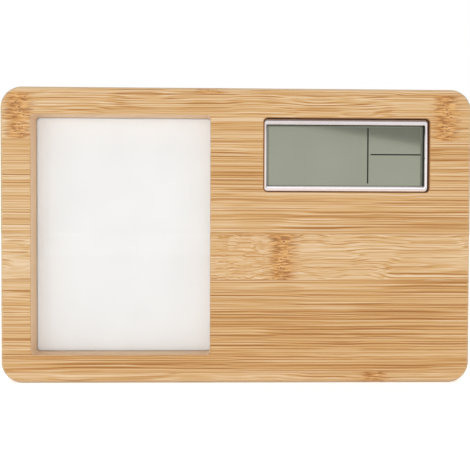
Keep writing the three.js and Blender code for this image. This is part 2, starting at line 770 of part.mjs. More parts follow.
function makeCover() {
  const front = coverFront - OVERCUT;
  const back = coverBack + OVERCUT;
  const plate = roundedSlab(
    coverWidth,
    coverHeight,
    COVER_RADIUS,
    COVER_EDGE_ROUND,
    coverFront,
    coverBack,
    0,
    caseMiddle,
  );
  const doorHole = box(
    bayLeft - DOOR_LAND - FIT_GAP,
    bayRight + DOOR_LAND + FIT_GAP,
    front,
    back,
    bayBottom - DOOR_LAND - FIT_GAP,
    bayTop + DOOR_LAND + FIT_GAP,
  );
  const nailNotch = bar(
    NAIL_NOTCH_RADIUS,
    coverBack - NAIL_NOTCH_DEPTH,
    back,
    bayRight + DOOR_LAND + FIT_GAP,
    cellZ,
  );
  const buttonHoles = buttonPlaces.map(([, x]) => bar(BUTTON_RADIUS + SLIDE_GAP, front, back, x, buttonRowZ));
  const knobSlot = slab(knobSlotLength, knobSlotWidth, KNOB_WIDTH / 2, front, back, 0, upperRowZ);
  const soundHoles = [bar(SOUND_HOLE_RADIUS, front, back, buzzerX, upperRowZ, SMALL_SIDES)];
  for (let i = 0; i < SOUND_HOLE_COUNT; i += 1) {
    const angle = (i / SOUND_HOLE_COUNT) * 2 * Math.PI;
    const x = buzzerX + SOUND_HOLE_CIRCLE * Math.cos(angle);
    const z = upperRowZ + SOUND_HOLE_CIRCLE * Math.sin(angle);
    soundHoles.push(bar(SOUND_HOLE_RADIUS, front, back, x, z, SMALL_SIDES));
  }
  const vents = [];
  for (let i = 0; i < VENT_COUNT; i += 1) {
    const z = upperRowZ + (i - (VENT_COUNT - 1) / 2) * VENT_PITCH;
    vents.push(slab(VENT_WIDTH, VENT_HEIGHT, VENT_HEIGHT / 2 - SEAT_GAP, front, back, thermistorX, z));
  }
  const screwHoles = corners(coverScrewX, coverScrewZ).flatMap(([x, z]) => [
    bar(COVER_SCREW_RADIUS + SEAT_GAP, front, back, x, caseMiddle + z, SMALL_SIDES),
    bar(
      COVER_SCREW_HEAD_RADIUS + FIT_GAP,
      coverBack - COVER_SCREW_HEAD_HEIGHT - SEAT_GAP,
      back,
      x,
      caseMiddle + z,
    ),
  ]);
  const tools = [doorHole, nailNotch, ...buttonHoles, knobSlot, ...soundHoles, ...vents, ...screwHoles];
  return makeMesh("module_cover", cut(plate, tools), blackPlastic);
}

// The door tilts out on two hooks at its left end; its right end has a ribbed grip.
function makeDoor() {
  const left = bayLeft - DOOR_LAND;
  const right = bayRight + DOOR_LAND;
  const plate = box(left, right, coverFront, coverBack, bayBottom - DOOR_LAND, bayTop + DOOR_LAND);
  const postLeft = bayLeft + FIT_GAP;
  const postRight = postLeft + HOOK_POST;
  const toeBack = coverFront - SEAT_GAP;
  const toeFront = toeBack - HOOK_THICKNESS;
  const hooks = hookPlaces().flatMap((z) => {
    const low = z - HOOK_WIDTH / 2;
    const high = z + HOOK_WIDTH / 2;
    return [
      box(postLeft, postRight, toeFront, coverFront + OVERCUT, low, high),
      box(left - HOOK_REACH, postRight, toeFront, toeBack, low, high),
    ];
  });
  const grooves = [];
  for (let i = 0; i < GRIP_RIB_COUNT; i += 1) {
    const x = right - (i + 1) * GRIP_RIB_PITCH;
    grooves.push(
      box(
        x - GRIP_RIB_WIDTH / 2,
        x + GRIP_RIB_WIDTH / 2,
        coverBack - GRIP_RIB_DEPTH,
        coverBack + OVERCUT,
        bayBottom,
        bayTop,
      ),
    );
  }
  return makeMesh("battery_door", cut(join(plate, hooks), grooves), blackPlastic);
}

// Battery and its contacts

function makeCell() {
  const bodyLength = CELL_LENGTH - CELL_NUB_LENGTH;
  const radius = CELL_DIAMETER / 2;
  const profile = [
    new THREE.Vector2(0, 0),
    new THREE.Vector2(radius, 0),
    new THREE.Vector2(radius, bodyLength),
    new THREE.Vector2(CELL_NUB_RADIUS, bodyLength),
    new THREE.Vector2(CELL_NUB_RADIUS, CELL_LENGTH),
    new THREE.Vector2(0, CELL_LENGTH),
  ];
  const geometry = new THREE.LatheGeometry(profile, ROUND_SIDES).rotateZ(-Math.PI / 2);
  return makeMesh("battery_cell", geometry, cellSleeve, cellStart, cellY, cellZ);
}

// A contact plate with a tab that reaches up to the board.
function makeContact(name, x) {
  const half = CONTACT_SIZE / 2;
  const thick = CONTACT_THICKNESS / 2;
  const plate = box(-thick, thick, cellY - half, cellY + half, cellZ - half, cellZ + half);
  const tab = box(
    -thick,
    thick,
    tabFront(),
    tabFront() + CONTACT_TAB_WIDTH,
    cellZ,
    -boardHeight / 2 + CONTACT_TAB_REACH,
  );
  return makeMesh(name, join(plate, [tab]), brass, x);
}

// The helix of the battery spring, widest at the contact plate.
class SpringCurve extends THREE.Curve {
  getPoint(t) {
    const angle = t * SPRING_TURNS * 2 * Math.PI;
    const radius = SPRING_BASE_RADIUS + (SPRING_TIP_RADIUS - SPRING_BASE_RADIUS) * t;
    const rise = SPRING_WIRE / 2 + (SPRING_LENGTH - SPRING_WIRE) * t;
    return new THREE.Vector3(rise, radius * Math.cos(angle), radius * Math.sin(angle));
  }
}

function makeSpring() {
  const section = new THREE.Shape();
  section.absarc(0, 0, SPRING_WIRE / 2, 0, 2 * Math.PI);
  const stepsPerTurn = 8;
  const geometry = new THREE.ExtrudeGeometry(section, {
    steps: SPRING_TURNS * stepsPerTurn,
    curveSegments: SMALL_ARC_STEPS,
    extrudePath: new SpringCurve(),
  });
  return makeMesh("battery_spring", geometry, steel, springStart, cellY, cellZ);
}

// Screws

// A pan-head screw along Y with a cross slot; its head's outer face lies at the origin.
function screwGeometry(radius, length, headRadius, headHeight) {
  const head = bar(headRadius, -headHeight, 0, 0, 0, SMALL_SIDES);
  const shank = bar(radius, -headHeight - length, -headHeight / 2, 0, 0, SMALL_SIDES);
  const arm = headRadius - SCREW_SLOT_WIDTH;
  const slot = SCREW_SLOT_WIDTH / 2;
  const slots = [
    box(-arm, arm, -SCREW_SLOT_DEPTH, OVERCUT, -slot, slot),
    box(-slot, slot, -SCREW_SLOT_DEPTH, OVERCUT, -arm, arm),
  ];
  return cut(join(head, [shank]), slots);
}

function makeCoverScrews() {
  return corners(coverScrewX, coverScrewZ).map(([x, z], i) =>
    makeMesh(
      `cover_screw_${i + 1}`,
      screwGeometry(COVER_SCREW_RADIUS, COVER_SCREW_LENGTH, COVER_SCREW_HEAD_RADIUS, COVER_SCREW_HEAD_HEIGHT),
      steel,
      x,
      coverBack,
      caseMiddle + z,
    ),
  );
}

function makeBoardScrews() {
  return corners(bossX, bossZ).map(([x, z], i) =>
    makeMesh(
      `board_screw_${i + 1}`,
      screwGeometry(BOARD_SCREW_RADIUS, BOARD_SCREW_LENGTH, BOARD_SCREW_HEAD_RADIUS, BOARD_SCREW_HEAD_HEIGHT),
      steel,
      x,
      partsFront + BOARD_SCREW_HEAD_HEIGHT,
      z,
    ),
  );
}

// Everything that belongs to the clock module, about the display's middle.
function makeClockModule() {
  const group = new THREE.Group();
  group.position.set(displayX, 0, displayZ);
  const [negativeX, positiveX] = contactPlaces();
  group.add(
    makeBezel(),
    makeGlass(),
    ...makeZebras(),
    makeCase(),
    makeBoard(),
    makeChip(),
    makeCrystal(),
    makeThermistor(),
    makeBuzzer(),
    ...buttonPlaces.map(([name, x]) => makeButton(name, x)),
    makeAlarmSwitch(),
    makeCover(),
    makeDoor(),
    makeCell(),
    makeContact("negative_contact", negativeX),
    makeContact("positive_contact", positiveX),
    makeSpring(),
    ...makeCoverScrews(),
    ...makeBoardScrews(),
  );
  return group;
}

const clock = new THREE.Group();
clock.add(makeBlock(), makePhotoStack(), makeClockModule());

export default clock;
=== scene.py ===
"""Looks for a bamboo desk block with a photo opening and a small LCD clock.

The scene is in metres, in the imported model's frame: X right, Y from front to back, Z up.
Meshes are built in millimetres and scaled when they are finished.
"""

import json
import math

import bmesh
import bpy
from mathutils import Matrix, Quaternion, Vector


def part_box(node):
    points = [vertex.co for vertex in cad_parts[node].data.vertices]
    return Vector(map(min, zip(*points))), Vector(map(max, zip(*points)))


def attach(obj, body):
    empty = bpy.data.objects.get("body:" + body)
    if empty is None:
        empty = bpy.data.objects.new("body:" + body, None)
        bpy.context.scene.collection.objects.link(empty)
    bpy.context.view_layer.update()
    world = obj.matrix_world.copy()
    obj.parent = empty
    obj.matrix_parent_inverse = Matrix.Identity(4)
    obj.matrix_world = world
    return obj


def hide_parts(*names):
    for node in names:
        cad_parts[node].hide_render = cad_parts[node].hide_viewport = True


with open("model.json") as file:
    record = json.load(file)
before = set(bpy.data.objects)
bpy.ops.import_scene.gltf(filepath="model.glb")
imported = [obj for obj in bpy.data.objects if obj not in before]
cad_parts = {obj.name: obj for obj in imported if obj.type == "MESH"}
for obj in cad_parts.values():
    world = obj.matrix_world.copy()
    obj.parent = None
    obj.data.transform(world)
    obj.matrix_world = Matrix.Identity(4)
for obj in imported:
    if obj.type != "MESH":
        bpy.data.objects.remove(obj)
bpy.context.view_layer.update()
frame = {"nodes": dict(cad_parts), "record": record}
scene = bpy.context.scene
record = frame["record"]
body_of = {node: body for body, nodes in record["behaviour"]["bodies"].items() for node in nodes}
slot_of = {part["node"]: part["material_slot"] for part in record["subparts"]}

MM = 0.001
BUTTONS = ("mode", "set", "up", "down")
SCREWS = (1, 2, 3, 4)

# Sizes that the nodes' boxes don't give, in millimetres
SEAT_GAP = 0.1
FIT_GAP = 0.3
OVERCUT = 1.0
SMALLEST_RADIUS = 0.02
SMALL_EDGE = 0.1

# Block
BLOCK_CORNER = 9.0
BLOCK_EDGE = 1.5
FRONT_WALL = 3.0
WINDOW_OVERLAP = 3.0
OPENING_CORNER = 1.4
OPENING_LIP = 0.35
GROOVE_CORNER = 0.1
GROOVE_TOP = 5.0
REAR_CORNER = 4.0
REAR_LIP = 0.6
CUT_OUT_LIP = 0.15
MODULE_CORNER = 2.0
REBATE_LIP = 0.4

# Back panel; the bowl has pairs of rise and inset at the foot of the thumb dish
PANEL_TONGUE = 2.0
PANEL_CORNER = 0.4
PANEL_EDGE = 0.3
THUMB_RADIUS = 9.0
THUMB_DEPTH = 1.2
THUMB_MARGIN = 6.0
THUMB_LIP = 0.3
THUMB_BOWL = ((0.5, 0.05), (0.28, 0.3), (0.13, 0.8), (0.04, 1.6), (0.0, 3.0))

# How far each sheet's edges are rounded
SHEET_EDGES = (("photo_window", 0.15), ("photo_card", 0.05), ("backing_board", 0.1))

# Bezel; pairs are for its upright sides and its level ones
BEZEL_GAP = 0.35
BEZEL_FILL = 0.15
BEZEL_CORNER = 1.4
BEZEL_DEPTH = 0.9
BEZEL_EDGE_DEPTH = 0.1
BEZEL_EDGE = (0.42, 0.95)
BEZEL_EDGE_CORNER = 0.4
BEZEL_SLOPE_DEPTH = 0.7
BEZEL_SLOPE_CURVE = 1.6
BEZEL_SLOPE = (0.6, 1.2)
BEZEL_STEPS = 8
VIEW_INSET = (1.1, 2.1)
VIEW_CORNER = 0.28

# Display; each divider has its middle and half its size, and the ink has pairs of height and growth
GLASS_EDGE = 0.12
GLASS_CORNER = 0.2
GLASS_STEP = 1.8
DIVIDERS = (
    ("display_divider_upright", (56.66, 97.69), (0.31, 12.0)),
    ("display_divider_level", (68.73, 98.2), (10.9, 0.29)),
)
INK_LAYERS = ((0.02, -0.02), (0.012, 0.0), (0.004, 0.0))
INK_CORNER = 0.1

# Rear cover
COVER_CORNER = 3.0
COVER_EDGES = (0.1, 0.4)
NOTCH_RADIUS = 4.0
NOTCH_DEPTH = 1.2
BUZZER_HOLE = 0.7
BUZZER_RING = 3.0
BUZZER_HOLES = 6
VENT_PITCH = 2.6
VENT_HALF = (3.5, 0.6)
VENT_CORNER = 0.5
SINK_RADIUS = 2.1
SINK_DEPTH = 1.3
WIDE_LIP = 0.25
MIDDLE_LIP = 0.2
SMALL_LIP = 0.15

# Battery door
DOOR_CORNER = 0.3
DOOR_HOLE_CORNER = 0.4
DOOR_EDGES = (0.1, 0.25)
HOOK_REACH = 1.6
HOOK_POST = 1.1
HOOK_THICK = 1.4
HOOK_ROOT = 0.5
HOOK_OFFSET = 4.15
HOOK_HALF = 1.2
GRIP_COUNT = 4
GRIP_PITCH = 1.8
GRIP_HALF = 0.35
GRIP_MARGIN = 0.9
GRIP_CORNER = 0.3
GRIP_DEPTH = 0.5

# Buttons; the dish has pairs of depth and radius
BUTTON_RADIUS = 2.6
BUTTON_EDGE = 0.45
BUTTON_DISH = ((0.03, 1.9), (0.1, 1.5), (0.17, 0.9), (0.2, 0.3))

# Alarm knob
KNOB_HALF = (1.6, 1.4)
KNOB_CORNER = 1.3
KNOB_EDGE = 0.3
KNOB_TRAVEL = 3.0
KNOB_PLATE = 0.8
KNOB_PLATE_CORNER = 0.3
SLIT_HALF = (0.12, 2.0)
SLIT_CORNER = 0.1
SLIT_PITCH = 0.75
SLIT_DEPTH = 0.3
SLIT_LIP = 0.08

# Cover screws; the crown has pairs of depth and radius, and the cross pairs of depth and growth
SHANK_RADIUS = 1.0
TIP_RADIUS = 0.15
TIP_LENGTH = 1.2
HEAD_RADIUS = 1.8
HEAD_HEIGHT = 1.2
HEAD_EDGE = 0.6
HEAD_CROWN = ((0.02, 0.9), (0.0, 0.4))
CROSS_HALVES = ((1.15, 0.24), (0.24, 1.15))
CROSS_CORNER = 0.2
CROSS_SIDES = ((0.7, -0.12), (-OVERCUT, 0.1))

# Cell; its ends have pairs of distance from the end and inset from its side
CELL_FOOT = ((0.0, 1.1), (0.02, 0.9), (0.15, 0.5), (0.3, 0.1), (0.5, 0.0))
CELL_SHOULDER = ((0.5, 0.0), (0.2, 0.1), (0.0, 0.5), (0.0, 1.0), (0.15, 1.3))
NUB_LENGTH = 1.2
NUB_RADIUS = 1.9
NUB_EDGE = 0.2
NUB_TIP = 1.65
NUB_FOOT = 0.15

# Battery spring
WIRE_RADIUS = 0.35
WIRE_SIDES = 8
SPRING_TURNS = 3
SPRING_STEPS = 72
SPRING_START = 3.1
SPRING_END = 2.0

# The smallest angle of an edge that stays sharp, in degrees
SHARP = 35
SHARP_BEZEL = 25
SHARP_ROUND = 50


# The camera stands at the photograph's place and angle.
CAMERA_PLACE = Vector((-5.28, -247.30, 67.42)) * MM
CAMERA_TARGET = Vector((-0.865, -9.3, 63.234)) * MM
CAMERA_ROLL = math.radians(0.203)
FOCAL_PIXELS = 560.57
FRAME_PIXELS = 470
SENSOR_WIDTH = 36


def make_camera():
    data = bpy.data.cameras.new("camera")
    data.sensor_width = SENSOR_WIDTH
    data.lens = SENSOR_WIDTH * FOCAL_PIXELS / FRAME_PIXELS
    data.clip_start = 0.01
    data.clip_end = 50
    camera = bpy.data.objects.new("camera", data)
    aim = (CAMERA_TARGET - CAMERA_PLACE).to_track_quat("-Z", "Y")
    camera.rotation_mode = "QUATERNION"
    camera.rotation_quaternion = aim @ Quaternion((0, 0, 1), CAMERA_ROLL)
    camera.location = CAMERA_PLACE
    scene.collection.objects.link(camera)
    scene.camera = camera


# Meshes


def mm_box(node):
    """A node's lowest and highest corners in millimetres."""
    low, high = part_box(node)
    return low / MM, high / MM


def middle(low, high):
    """The middle of a box as seen from the front: its x and z."""
    return (low.x + high.x) / 2, (low.z + high.z) / 2


def half_size(low, high):
    return (high.x - low.x) / 2, (high.z - low.z) / 2


def grown(half, gap):
    return [size + gap for size in half]


def outline(half_x, half_z, radius, steps):
    """Points of a rounded rectangle about the origin; a circle where the radius is half the size."""
    points = []
    for quarter, (side_x, side_z) in enumerate(((1, 1), (-1, 1), (-1, -1), (1, -1))):
        for step in range(steps + 1):
            angle = (quarter + step / steps) * math.pi / 2
            x = side_x * (half_x - radius) + radius * math.cos(angle)
            z = side_z * (half_z - radius) + radius * math.sin(angle)
            points.append((x, z))
    return points


def loft(rings, joined=False):
    """A closed mesh through rings of points: capped at both ends, or joined end to end."""
    bm = bmesh.new()
    rows = [[bm.verts.new(point) for point in ring] for ring in rings]
    following = rows[1:] + rows[:1] if joined else rows[1:]
    for row, after in zip(rows, following):
        for i in range(len(row)):
            j = (i + 1) % len(row)
            bm.faces.new((row[i], row[j], after[j], after[i]))
    if not joined:
        bm.faces.new(rows[0])
        bm.faces.new(rows[-1])
    bmesh.ops.remove_doubles(bm, verts=bm.verts, dist=1e-5)
    bmesh.ops.recalc_face_normals(bm, faces=bm.faces)
    return bm


def stack(centre, rings, steps):
    """Rounded rectangles along Y, from the depth, half sizes and corner radius of each."""
    loops = []
    for depth, half_x, half_z, radius in rings:
        points = outline(half_x, half_z, radius, steps)
        loops.append([(centre[0] + x, depth, centre[1] + z) for x, z in points])
    return loops


def plate(centre, half, radius, profile, steps=6):
    """A rounded rectangle carried along Y. The profile pairs each depth with how far it grows there."""
    rings = []
    for depth, grow in profile:
        rings.append((depth, half[0] + grow, half[1] + grow, max(radius + grow, SMALLEST_RADIUS)))
    return loft(stack(centre, rings, steps))


def turned(centre, profile, steps=8):
    """A round piece along Y. The profile pairs each depth with the radius there."""
    return loft(stack(centre, [(depth, radius, radius, radius) for depth, radius in profile], steps))


def quarter_round(edge, steps=4):
    """Depth and distance pairs of a rounded edge, from its face to its side."""
    angles = [step / steps * math.pi / 2 for step in range(steps + 1)]
    return [(edge * (1 - math.cos(angle)), edge * (1 - math.sin(angle))) for angle in angles]


def crown(face, radius, edge):
    """Depth and radius pairs of a round piece's rounded rear edge, from its side to its face."""
    return [(face - depth, radius - inset) for depth, inset in quarter_round(edge)[::-1]]


def rounded(front, back, front_edge, back_edge, steps=4):
    """Profile of a plate whose two edges are rounded over."""
    start = [(front + depth, -inset) for depth, inset in quarter_round(front_edge, steps)]
    end = [(back - depth, -inset) for depth, inset in quarter_round(back_edge, steps)]
    return start + end[::-1]


def mouth(face, outward, lip, end):
    """Profile of a cutter that opens at a face with a rounded lip and runs on to a depth."""
    curve = [(face - outward * depth, grow) for depth, grow in quarter_round(lip)]
    return [(face + outward * OVERCUT, lip)] + curve + [(end, 0)]


def bore(centre, radius, face, lip, end, steps=8):
    """A cutter for a round hole that opens at the back with a rounded lip."""
    return turned(centre, [(depth, radius + grow) for depth, grow in mouth(face, 1, lip, end)], steps)


def prism(points, low, high):
    """A polygon in X and Y, carried along Z."""
    return loft([[(x, y, z) for x, y in points] for z in (low, high)])


def add_object(name, bm):
    mesh = bpy.data.meshes.new(name)
    bm.to_mesh(mesh)
    bm.free()
    piece = bpy.data.objects.new(name, mesh)
    scene.collection.objects.link(piece)
    return piece


def combine(name, body, cutters=(), additions=()):
    """A piece made of a mesh with others joined to it and then cut out of it."""
    piece = add_object(name, body)
    steps = [("UNION", bm) for bm in additions] + [("DIFFERENCE", bm) for bm in cutters]
    tools = []
    for operation, bm in steps:
        tools.append(add_object("tool", bm))
        modifier = piece.modifiers.new("combine", "BOOLEAN")
        modifier.operation = operation
        modifier.solver = "EXACT"
        modifier.object = tools[-1]
    made = piece.evaluated_get(bpy.context.evaluated_depsgraph_get())
    mesh = bpy.data.meshes.new_from_object(made)
    piece.modifiers.clear()
    piece.data = mesh
    for tool in tools:
        bpy.data.objects.remove(tool)
    return piece


def settle(piece, material, sharp=SHARP):
    """Scales a piece to metres, smooths it between its sharp edges and gives it its material."""
    mesh = piece.data
    mesh.transform(Matrix.Scale(MM, 4))
    mesh.materials.clear()
    mesh.materials.append(material)
    mesh.shade_smooth()
    mesh.set_sharp_from_angle(angle=math.radians(sharp))
    normals = piece.modifiers.new("normals", "WEIGHTED_NORMAL")
    normals.keep_sharp = True


def stand_for(piece, node, sharp=SHARP, look=None):
    """Finishes a piece that replaces a node. It has the look of the node's slot, or a given one."""
    settle(piece, materials[look or slot_of[node]], sharp)
    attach(piece, body_of[node])
    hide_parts(node)


# Places and half sizes as seen from the front, taken from the nodes
BLOCK_BOX = mm_box("bamboo_block")
WINDOW_BOX = mm_box("photo_window")
BEZEL_BOX = mm_box("display_bezel")
BLOCK_FRONT = BLOCK_BOX[0].y
BLOCK_HEIGHT = BLOCK_BOX[1].z
WINDOW_FRONT = WINDOW_BOX[0].y
BLOCK_MIDDLE, BLOCK_HALF = middle(*BLOCK_BOX), half_size(*BLOCK_BOX)
PHOTO_MIDDLE, WINDOW_HALF = middle(*WINDOW_BOX), half_size(*WINDOW_BOX)
DISPLAY_MIDDLE, BEZEL_HALF = middle(*BEZEL_BOX), half_size(*BEZEL_BOX)
OPENING_HALF = grown(WINDOW_HALF, -WINDOW_OVERLAP)
CUT_OUT_HALF = grown(BEZEL_HALF, BEZEL_GAP)
CUT_OUT_CORNER = BEZEL_CORNER + BEZEL_GAP
VIEW_HALF = [size - inset for size, inset in zip(BEZEL_HALF, VIEW_INSET)]


# Materials


def srgb(red, green, blue):
    """A colour as it shows on a screen, 0 to 255, as linear values."""
    values = []
    for level in (red, green, blue):
        share = level / 255
        values.append(share / 12.92 if share <= 0.04045 else ((share + 0.055) / 1.055) ** 2.4)
    return (*values, 1)


def grey(value):
    return (value, value, value, 1)


class Value:
    """A node's output, which can be reckoned with as a number."""

    def __init__(self, graph, socket):
        self.graph = graph
        self.socket = socket

    def __add__(self, other):
        return self.graph.math("ADD", self, other)

    def __sub__(self, other):
        return self.graph.math("SUBTRACT", self, other)

    def __mul__(self, other):
        return self.graph.math("MULTIPLY", self, other)

    def __abs__(self):
        return self.graph.math("ABSOLUTE", self)


class Graph:
    """The nodes of a material or of the world, with short calls for the ones used here."""

    def __init__(self, name, library=bpy.data.materials, output="OutputMaterial"):
        self.owner = library.new(name)
        self.owner.use_nodes = True
        self.tree = self.owner.node_tree
        self.tree.nodes.clear()
        self.output = self.node(output)

    def node(self, kind, inputs=None, **settings):
        node = self.tree.nodes.new("ShaderNode" + kind)
        for name, value in settings.items():
            setattr(node, name, value)
        for key, value in (inputs or {}).items():
            self.feed(node.inputs[key], value)
        return node

    def add(self, kind, inputs=None, output=0, **settings):
        """A new node's output."""
        return Value(self, self.node(kind, inputs, **settings).outputs[output])

    def feed(self, socket, value):
        if isinstance(value, Value):
            self.tree.links.new(value.socket, socket)
        else:
            socket.default_value = value

    def parts(self, vector):
        """A vector's x, y and z."""
        outputs = self.node("SeparateXYZ", {0: vector}).outputs
        return [Value(self, socket) for socket in outputs]

    def place(self):
        """The place on the piece in millimetres: x, y and z."""
        place = self.add("TexCoord", output="Object")
        return self.parts(self.add("VectorMath", {0: place, "Scale": 1 / MM}, operation="SCALE"))

    def math(self, operation, *values):
        return self.add("Math", dict(enumerate(values)), operation=operation)

    def vector(self, x, y, z):
        return self.add("CombineXYZ", {0: x, 1: y, 2: z})

    def length(self, vector):
        return self.add("VectorMath", {0: vector}, "Value", operation="LENGTH")

    def noise(self, vector, detail=2.0, roughness=0.5):
        settings = {"Vector": vector, "Scale": 1.0, "Detail": detail, "Roughness": roughness}
        return self.add("TexNoise", settings)

    def grain(self, rates, detail=2.0, roughness=0.5):
        """Noise over the piece. One rate or three say how fast it changes along X, Y and Z."""
        rates = rates if isinstance(rates, tuple) else (rates, rates, rates)
        axes = [axis * rate for axis, rate in zip(self.place(), rates)]
        return self.noise(self.vector(*axes), detail, roughness)

    def cells(self, vector):
        """The distance to the nearest of many scattered points."""
        return self.add("TexVoronoi", {"Vector": vector, "Scale": 1.0}, "Distance")

    def swing(self, value, size):
        """Noise about nought, of the given size."""
        return value * (2 * size) - size

    def step(self, value, start, end, low=0.0, high=1.0, shape="SMOOTHSTEP"):
        """A step from low to high between two values, smooth unless said otherwise."""
        settings = {"Value": value, "From Min": start, "From Max": end, "To Min": low, "To Max": high}
        return self.add("MapRange", settings, interpolation_type=shape)

    def ramp(self, factor, stops, interpolation="LINEAR"):
        node = self.node("ValToRGB", {"Fac": factor})
        node.color_ramp.interpolation = interpolation
        elements = node.color_ramp.elements
        elements.remove(elements[1])
        elements[0].position, elements[0].color = stops[0]
        for position, colour in stops[1:]:
            elements.new(position).color = colour
        return Value(self, node.outputs["Color"])

    def tones(self, value, dark, light):
        """Two tones over the middle of a noise's range."""
        return self.ramp(value, ((0.3, srgb(*dark)), (0.7, srgb(*light))))

    def mix(self, factor, a, b):
        """A blend of two colours; the node keeps its colours on these sockets."""
        node = self.node("Mix", data_type="RGBA")
        for index, value in ((0, factor), (6, a), (7, b)):
            self.feed(node.inputs[index], value)
        return Value(self, node.outputs[2])

    def choose(self, factor, a, b):
        return self.add("Mix", {0: factor, 2: a, 3: b}, data_type="FLOAT")

    def bump(self, height, distance, strength=1.0):
        settings = {"Height": height, "Distance": distance * MM, "Strength": strength}
        return self.add("Bump", settings)

    def blend_shaders(self, factor, a, b):
        both = self.add("MixShader", {0: factor, 1: a, 2: b})
        self.feed(self.output.inputs["Surface"], both)
        return self.owner

    def surface(self, **inputs):
        """The shader; input names have _ for each space."""
        settings = {name.replace("_", " "): value for name, value in inputs.items()}
        self.feed(self.output.inputs["Surface"], self.add("BsdfPrincipled", settings))
        return self.owner


# Bamboo: plies of strips glued side by side, with sizes in millimetres
STRIP_PITCH = 19.7
STRIP_START = 4.6
PLY_DEPTH = 6.24
PLY_START = 1.498
PLY_SHIFT = 0.37
PLY_SEEDS = 17.0
KNOT_PITCH = 181.0
BUNDLE_PITCH = 1.15
KNOT_RANGE = 200.0
PANEL_SHIFT = 133.0
SEED_STEP = 3.7

# The front ply's strips from the bottom up: the tone of each, how strong its lines are, how wavy it is,
# and where along X its knot lies, if it shows one
STRIPS = (
    (0.68, 1.0, 0.2, 59.4),
    (0.37, 1.1, 0.1, None),
    (0.39, 1.15, 0.1, None),
    (0.70, 1.05, 0.5, 19.8),
    (0.54, 1.15, 0.1, None),
    (0.48, 1.05, 0.1, None),
    (0.58, 1.15, 0.2, -91.6),
    (0.63, 1.05, 0.2, -11.2),
)

# Fibres: their length in a straight strip and in a wavy one, thickness, detail, and what sets them apart
BROAD_FIBRES = (240.0, 60.0, 3.4, 1.0, 0.0)
COARSE_FIBRES = (260.0, 44.0, 0.5, 1.0, 5.0)
FINE_FIBRES = (170.0, 28.0, 0.36, 1.0, 11.0)
DARK_FIBRES = (260.0, 44.0, 0.46, 0.0, 23.0)
RIDGE_FIBRES = (260.0, 60.0, 2.4, 1.0, 31.0)

# How much each kind of fibre changes the tone
BROAD_SHARE = 0.14
COARSE_SHARE = 0.45
FINE_SHARE = 1.15
STRIPE_SHARE = 0.2
DARK_RANGE = (0.56, 0.74, -0.03, 0.3)
STRIPE_WANDER = 9.0

# Where along X the left end is painted paler, a painted sheen, and by how much
PAINTED_LEFT_SHEEN = (-60.0, -92.0, 0.0, 0.16)

# Colours of the bamboo, the darkest fibres first
FIBRE_TONES = (
    (0.0, srgb(155, 102, 48)),
    (0.15, srgb(172, 121, 65)),
    (0.325, srgb(188, 141, 83)),
    (0.5, srgb(200, 160, 106)),
    (0.675, srgb(206, 170, 124)),
    (0.85, srgb(211, 181, 143)),
    (1.0, srgb(218, 193, 160)),
)
KNOT_TONES = ((0.38, srgb(142, 88, 40)), (0.5, srgb(185, 129, 66)), (0.62, srgb(213, 167, 107)))
SHORT_DARK = srgb(187, 133, 73)
SHORT_PALE = srgb(214, 178, 129)
# A painted highlight that rings each pore
PORE_HIGHLIGHT = srgb(220, 176, 120)
PORE = srgb(128, 78, 34)
END_GRAIN = srgb(204, 166, 116)
SKIN_SIDE = srgb(172, 126, 72)
BUNDLE_END = srgb(146, 100, 54)
GLUE = srgb(164, 115, 64)
# Colours that paint light and shade on the walls, the cut-out and the outer edges; the scorch is partly
# real burn.
PAINTED_WALL_LIGHT = srgb(242, 206, 165)
PAINTED_FOOT_SHADE = srgb(178, 136, 96)
SCORCH_AND_SHADOW = srgb(187, 131, 71)
PAINTED_EDGE_SHADOW = srgb(118, 78, 44)
PAINTED_SHADOW_BELOW = srgb(84, 60, 40)
PAINTED_GAP_SHADE = srgb(96, 60, 30)
PAINTED_EDGE_SHEEN = srgb(193, 176, 151)
PAINTED_LOWER_SHADOW = srgb(146, 114, 78)


